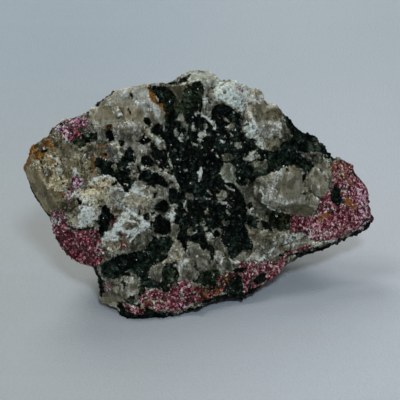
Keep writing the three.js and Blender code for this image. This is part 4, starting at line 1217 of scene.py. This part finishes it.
def quartz_colour(g, tone, warmth, rough=1.0):
    """Cloudy glass in blocks and shards, with veils and cracks; rough is least where it broke smooth."""
    cloud = g.times(g.spread(g.noise(0.42, 4), 1.45, 0.005), g.scaled(rough, 0.5, 0.5))
    fleck = g.times(g.spread(g.noise(2.0, 3, 0.62), 1.0), rough)
    block = g.spread(g.one_of(g.cells(0.34, stretch=(1.4, 1, 0.8))), 0.5)
    shard = g.times(g.spread(g.one_of(g.cells(0.9, stretch=(1.5, 1, 0.7))), 0.6), rough)
    veil = g.times(g.step(thin_line(g, 0.42, 2, 0.4, (1.6, 1, 0.7), 3), 0.0, 0.022, 0.5, 0.0),
                   g.step(g.noise(0.35, 2, 0.5, offset=9), 0.42, 0.6))
    crack = g.times(g.step(thin_line(g, 0.3, 3, 0.45, (0.7, 1, 1.5), 21), 0.002, 0.010, -0.7, 0.0),
                    g.step(g.noise(0.3, 2, 0.5, offset=27), 0.5, 0.62))
    shade = g.total(tone, cloud, fleck, block, shard, g.times(veil, rough), crack)
    return tinted(g, g.colours(shade, QUARTZ_STOPS), warmth)


def spar_colour(g, tone, warmth):
    """Chalky crumbs with dark pits between them."""
    cloud = g.spread(g.noise(0.8, 3), 1.2)
    crumb = g.spread(g.one_of(g.cells(1.5)), 0.7)
    fleck = g.spread(g.noise(3.2, 2, 0.6), 1.2)
    pit = g.step(g.noise(1.3, 3, 0.65, offset=31), 0.28, 0.37, -0.8, 0.0)
    return tinted(g, g.colours(g.total(tone, cloud, crumb, fleck, pit), SPAR_STOPS), warmth)


def mica_colour(g, tone, warmth):
    """Scales of many rose tones in upright streaks, with dark gaps and sugary quartz between them."""
    scale = g.spread(g.one_of(g.cells(1.9, stretch=(1, 1, 0.6))), 1.5, -0.1)
    small = g.spread(g.one_of(g.cells(4.0)), 0.9)
    cloud = g.spread(g.noise(0.6, 3), 1.3)
    streak = g.spread(g.noise(1.2, 3, 0.6, (2.2, 2.2, 0.45), 15), 1.2)
    gap = g.step(g.noise(1.5, 3, 0.7, offset=5), 0.34, 0.44, -1.0, 0.0)
    shade = g.total(tone, scale, small, cloud, streak, gap)
    rose = tinted(g, g.colours(shade, MICA_STOPS), warmth, SALMON, LILAC)
    sugar = g.times(g.step(g.one_of(g.cells(2.7)), 0.90, 0.92),
                    g.step(g.noise(0.5, 2, offset=19), 0.48, 0.58))
    return g.mix(g.scaled(sugar, 0.6), rose, g.colours(g.total(tone, small, 0.5), QUARTZ_STOPS))


def dark_colour(g, tone, warmth):
    """Black-green grains, whole facets of them a little paler than others."""
    grain = g.spread(g.one_of(g.cells(1.3)), 0.7, -0.05)
    facet = g.spread(g.one_of(g.cells(0.45, stretch=(1.6, 1, 0.6))), 0.6, 0.02)
    fleck = g.spread(g.noise(3.0, 3, 0.7), 1.3)
    return tinted(g, g.colours(g.total(tone, grain, facet, fleck), DARK_STOPS), warmth, DARK_BROWN, OLIVE)


def mineral_mask(g, name, ragged):
    """Where a mineral shows, with a jagged crisp border."""
    jag = g.spread(g.one_of(g.cells(1.5 + 0.1 * len(name))), ragged)
    wave = g.spread(g.noise(2.2, 4, 0.7, offset=len(name)), ragged)
    return g.step(g.total(g.value(name), jag, wave), -0.05, 0.05)


def rusted(g, colour):
    """Patchy rust over the colour, by the strength that the vertices carry."""
    rust = g.value("rust")
    stain = g.colours(g.spread(g.noise(1.6, 4, 0.65), 2.6), RUST_STOPS)
    patchy = g.step(g.total(rust, g.spread(g.noise(1.9, 4, 0.78), 2.4, -0.15)), 0.12, 0.5)
    patchy = g.times(patchy, g.step(rust, 0.02, 0.12))
    return g.mix(g.times(patchy, RUST_COVER), colour, stain)


def loose_grains(g):
    """Where the ground is broken, that share of its grains is another: which, and how much paler each is."""
    grain = g.cells(1.5)
    wobble = g.spread(g.noise(2.6, 3, 0.65, offset=33), 0.5)
    loose = g.step(g.total(g.one_of(grain), g.value("broken"), wobble, -1.0), -0.02, 0.02)
    return loose, g.times(loose, g.spread(g.one_of(grain, 1), 2.0, -0.15))


def pale_rim_and_ridge_highlight(g, hollow, dark):
    """Paler quartz along the dark mineral's rim, and a painted highlight on ridges that aren't dark."""
    # Painted highlight: ridges of the surface are made paler.
    edge = g.times(g.step(hollow, -0.2, -0.75), g.math("SUBTRACT", 1.0, dark))
    rim = g.times(g.step(g.value(DARK), -0.8, -0.2), g.step(g.noise(0.55, 3, 0.6, offset=13), 0.48, 0.6))
    return g.total(g.scaled(rim, 0.28), g.scaled(edge, 0.16))


def without_bits(g, dark):
    """The dark mineral less a few single grains of what lies under it, where it doesn't stand proud."""
    bits = g.times(g.step(g.one_of(g.cells(1.3)), 0.95, 0.97), g.step(g.noise(0.28, 2, offset=5), 0.46, 0.58))
    bits = g.times(bits, g.step(g.value("proud"), 0.25, 0.1))
    return g.times(dark, g.scaled(bits, -0.55, 1))


def specked(g, colour, dark):
    """Black specks in the pale minerals."""
    speck = g.times(g.step(g.cells(1.25, "Distance"), 0.20, 0.10),
                    g.step(g.noise(0.9, 2, 0.5, offset=7), 0.52, 0.60))
    return g.mix(g.times(speck, g.math("SUBTRACT", 0.8, dark)), colour, linear(*SPECK))


def rock_material():
    g = Graph("pegmatite_surface")
    tone, warmth, hollow = (g.value(name) for name in ("tone", "warmth", "hollow"))
    rough = g.scaled(g.value("smooth"), -0.65, 1.0)
    spar = mineral_mask(g, FELDSPAR, 0.28)
    mica = mineral_mask(g, MICA, 0.3)
    dark = mineral_mask(g, DARK, 0.26)
    loose, other = loose_grains(g)
    kept = g.math("SUBTRACT", 1.0, loose)
    spar, mica = g.times(spar, kept), g.times(mica, kept)
    # Paler rims by the dark mineral, and a painted highlight on the ridges.
    tone = g.total(tone, pale_rim_and_ridge_highlight(g, hollow, dark), other)
    colour = g.mix(spar, quartz_colour(g, tone, warmth, rough), spar_colour(g, tone, warmth))
    colour = g.mix(mica, colour, mica_colour(g, tone, warmth))
    dark = without_bits(g, dark)
    colour = g.mix(dark, colour, dark_colour(g, tone, warmth))
    colour = specked(g, rusted(g, colour), dark)
    # Painted shade: the colour is darkened in the pits and hollows of the surface.
    colour = g.mix(1.0, colour, g.colours(hollow, PIT_SHADE_STOPS), "MULTIPLY")
    roughness = g.blend(dark, g.blend(mica, g.blend(spar, 0.30, 0.55), 0.38), 0.5)
    glint = g.step(g.one_of(g.cells(1.7)), 0.86, 0.9, 0.0, 0.6)
    coat = g.blend(dark, g.blend(spar, 0.35, 0.05), glint)
    fine = g.total(g.noise(3.5, 4, 0.7), g.scaled(g.cells(2.6, "Distance"), 0.8))
    height = g.times(g.blend(spar, g.scaled(fine, 0.5), fine), rough)
    return g.finish(colour, roughness, height, 0.16, Coat_Weight=coat, IOR=1.5, Specular_IOR_Level=0.03,
                    Coat_Roughness=0.18)


def grain_material(name, colour_of, roughness, bump, contrast, lift, **fixed):
    """One grain mineral: contrast is the spread of tone between grains, lift its mean over the ground's."""
    g = Graph(name)
    tone = g.total(g.value("tone"), g.spread(g.value("shade"), contrast, lift))
    colour = rusted(g, colour_of(g, tone, g.value("warmth")))
    return g.finish(colour, roughness, g.noise(4.0, 3, 0.6), bump, **fixed)


def cloth_material():
    """Pale cloth with painted light and shade: darker and warmer to the left, darker and bluer away to the
    back.
    """
    g = Graph("pale_cloth")
    x, y = (g.node("ShaderNodeSeparateXYZ", axis, {0: g.mm}) for axis in (0, 1))
    # drift: soft patches of painted light and shade over the cloth, and the wander of the painted gradients.
    drift = g.total(g.spread(g.noise(0.012, 3), 0.5), g.spread(g.noise(0.9, 3, 0.6), 0.3),
                    g.spread(g.noise(0.05, 3, 0.5, (0.3, 3.0, 1)), 0.24))
    far = g.math("ADD", g.step(y, 0.0, 200.0), drift, clamp=True)
    right = g.math("ADD", g.step(x, -70.0, 65.0), drift, clamp=True)
    near_colour, far_colour = (g.mix(right, *(linear(*end) for end in ends))
                               for ends in (CLOTH_NEAR, CLOTH_FAR))
    weave = g.total(g.noise(1.1, 3, 0.6), g.noise(3.0, 2))
    return g.finish(g.mix(far, near_colour, far_colour), 0.9, weave, 0.22, IOR=1.4, Specular_IOR_Level=0.2)


# ================================================================ the stage
FLOOR_HALF, FLOOR_STEPS, FLOOR_CROWDING = 1400.0, 140, 1.8
FLOOR_DROP = 0.02                                        # keeps the cloth off the resting flat
SWELL_SIZE, SWELL_HEIGHT, SWELL_FROM = 160, 2.2, (60, 160)

AIM = Vector((0, 0, 0.025))                              # metres
WARM_WHITE, COOL_WHITE = (1.0, 0.98, 0.91), (0.81, 0.90, 1.0)
# Square soft lights: direction from the rock, distance and size in metres, watts, colour.
LIGHTS = {
    "overhead": ((-0.46, 0.14, 1.0), 0.9, 0.36, 1.9, WARM_WHITE),
    "behind": ((-0.34, 0.88, 1.0), 0.9, 0.40, 3.4, WARM_WHITE),
    "front": ((0.13, -1.12, 1.0), 1.1, 0.14, 4.7, COOL_WHITE),
}
WORLD_COLOUR, WORLD_STRENGTH = (0.98, 0.96, 0.86, 1), 0.19


def add_floor():
    """A broad cloth, flat under the rock, with faint swells away from it."""
    line = np.linspace(-1, 1, FLOOR_STEPS)
    line = np.sign(line) * np.abs(line) ** FLOOR_CROWDING * FLOOR_HALF
    x, y = (axis.ravel() for axis in np.meshgrid(line, line))
    cloth = np.stack([x, y, np.zeros_like(x)], axis=1)
    swell = fractal(cloth * np.array([1, 1.6, 1]), SWELL_SIZE, 2, 901) * SWELL_HEIGHT
    cloth[:, 2] = -np.abs(swell) * ramp(np.hypot(x, y), *SWELL_FROM) - FLOOR_DROP
    row = np.arange(FLOOR_STEPS - 1)
    corner = (row[:, None] * FLOOR_STEPS + row).ravel()
    quads = np.stack([corner, corner + 1, corner + FLOOR_STEPS + 1, corner + FLOOR_STEPS], axis=1)
    mesh = bpy.data.meshes.new("floor")
    mesh.from_pydata((cloth * MM).tolist(), [], quads.tolist())
    mesh.polygons.foreach_set("use_smooth", np.full(len(mesh.polygons), True))
    mesh.materials.append(cloth_material())
    floor = bpy.data.objects.new("floor", mesh)
    bpy.context.scene.collection.objects.link(floor)


def add_lights_and_world():
    for name, (direction, distance, size, watts, colour) in LIGHTS.items():
        data = bpy.data.lights.new(name, "AREA")
        data.shape, data.size, data.energy, data.color = "SQUARE", size, watts, colour
        light = bpy.data.objects.new(name, data)
        towards = Vector(direction).normalized()
        light.location = AIM + towards * distance
        light.rotation_euler = towards.to_track_quat("Z", "Y").to_euler()
        bpy.context.scene.collection.objects.link(light)
    world = bpy.data.worlds.new("studio")
    world.use_nodes = True
    background = world.node_tree.nodes["Background"]
    background.inputs["Color"].default_value = WORLD_COLOUR
    background.inputs["Strength"].default_value = WORLD_STRENGTH
    bpy.context.scene.world = world


def add_camera():
    """The photograph's view: 25 degrees down on to the face's own origin."""
    data = bpy.data.cameras.new("camera")
    data.sensor_width = SENSOR
    data.lens = CAMERA_FAR * SENSOR / (IMAGE_PX * MM_PER_PX)
    data.clip_start, data.clip_end = CLIP_NEAR, CLIP_FAR
    data.dof.use_dof = False
    camera = bpy.data.objects.new("camera", data)
    place = (FACE_ORIGIN + CAMERA_FAR * OUT) * MM
    axes = Matrix((RIGHT, UP, OUT)).transposed().to_4x4()
    camera.matrix_world = Matrix.Translation(Vector(place)) @ axes
    bpy.context.scene.collection.objects.link(camera)
    bpy.context.scene.camera = camera


# ================================================================ the scene
# Each grain piece's shape, in the words of add_grains, and its look, in those of grain_material.
GRAIN_SHAPES = {
    "mica_scales": dict(seed=3, spacing=0.42, size=(0.16, 0.46, 0.6, 0.25), profile=PLATE, sides=6,
                        rough=0.35, tilt=0.8, sink=0.5),
    "tourmaline_grains": dict(seed=5, spacing=0.74, size=(0.18, 0.58, 0.7, 0.9), profile=PRISM, sides=6,
                              rough=0.3, tilt=1.0, sink=0.5),
    "feldspar_chips": dict(seed=7, spacing=0.75, size=(0.14, 0.42, 0.55, 0.7), profile=CHIP, sides=4,
                           rough=0.45, tilt=1.1, sink=0.4),
    "quartz_crumbs": dict(seed=9, spacing=1.15, size=(0.12, 0.42, 0.5, 0.7), profile=CHIP, sides=5,
                          rough=0.6, tilt=1.1, sink=0.4),
}
GRAIN_LOOKS = {
    "mica_scales": dict(name="mica_scale", colour_of=mica_colour, roughness=0.3, bump=0.02, contrast=1.7,
                        lift=-0.2, IOR=1.58, Specular_IOR_Level=0.2),
    "tourmaline_grains": dict(name="tourmaline", colour_of=dark_colour, roughness=0.3, bump=0.02,
                              contrast=0.7, lift=0.0, IOR=1.6, Specular_IOR_Level=0.05),
    "feldspar_chips": dict(name="feldspar_chip", colour_of=spar_colour, roughness=0.45, bump=0.03,
                           contrast=0.8, lift=0.08, IOR=1.53),
    "quartz_crumbs": dict(name="quartz_crumb", colour_of=quartz_colour, roughness=0.2, bump=0.03,
                          contrast=0.9, lift=0.1, IOR=1.54),
}
CRUMBS_ON_DARK, CRUMBS_OFF_SMOOTH = 0.012, 0.85          # share on the dark mineral, loss on smooth facets


def build_specimen():
    surface = rock_surface()
    points, triangles, normals, state = surface
    rock = add_mesh("pegmatite_rock", points, triangles.tolist(), state, rock_material(), True)
    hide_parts(NODE)
    dark, mica, spar, quartz = mineral_shares(state, 0.0, 0.25)
    crumbs = quartz * (1 - CRUMBS_OFF_SMOOTH * state["smooth"]) + CRUMBS_ON_DARK * dark
    off_floor = ramp(points[:, 2], 0.2, 0.8) * (1 - 0.8 * state["broken"])
    front = 0.45 + 0.55 * ramp(normals @ OUT, -0.3, 0.2)
    for name, weight in (("mica_scales", mica), ("tourmaline_grains", dark), ("feldspar_chips", spar),
                         ("quartz_crumbs", crumbs)):
        material = grain_material(**GRAIN_LOOKS[name])
        add_grains(name, surface, weight * off_floor * front, material, **GRAIN_SHAPES[name])


add_camera()
build_specimen()
add_floor()
add_lights_and_world()
bpy.context.scene.view_settings.view_transform = "Standard"
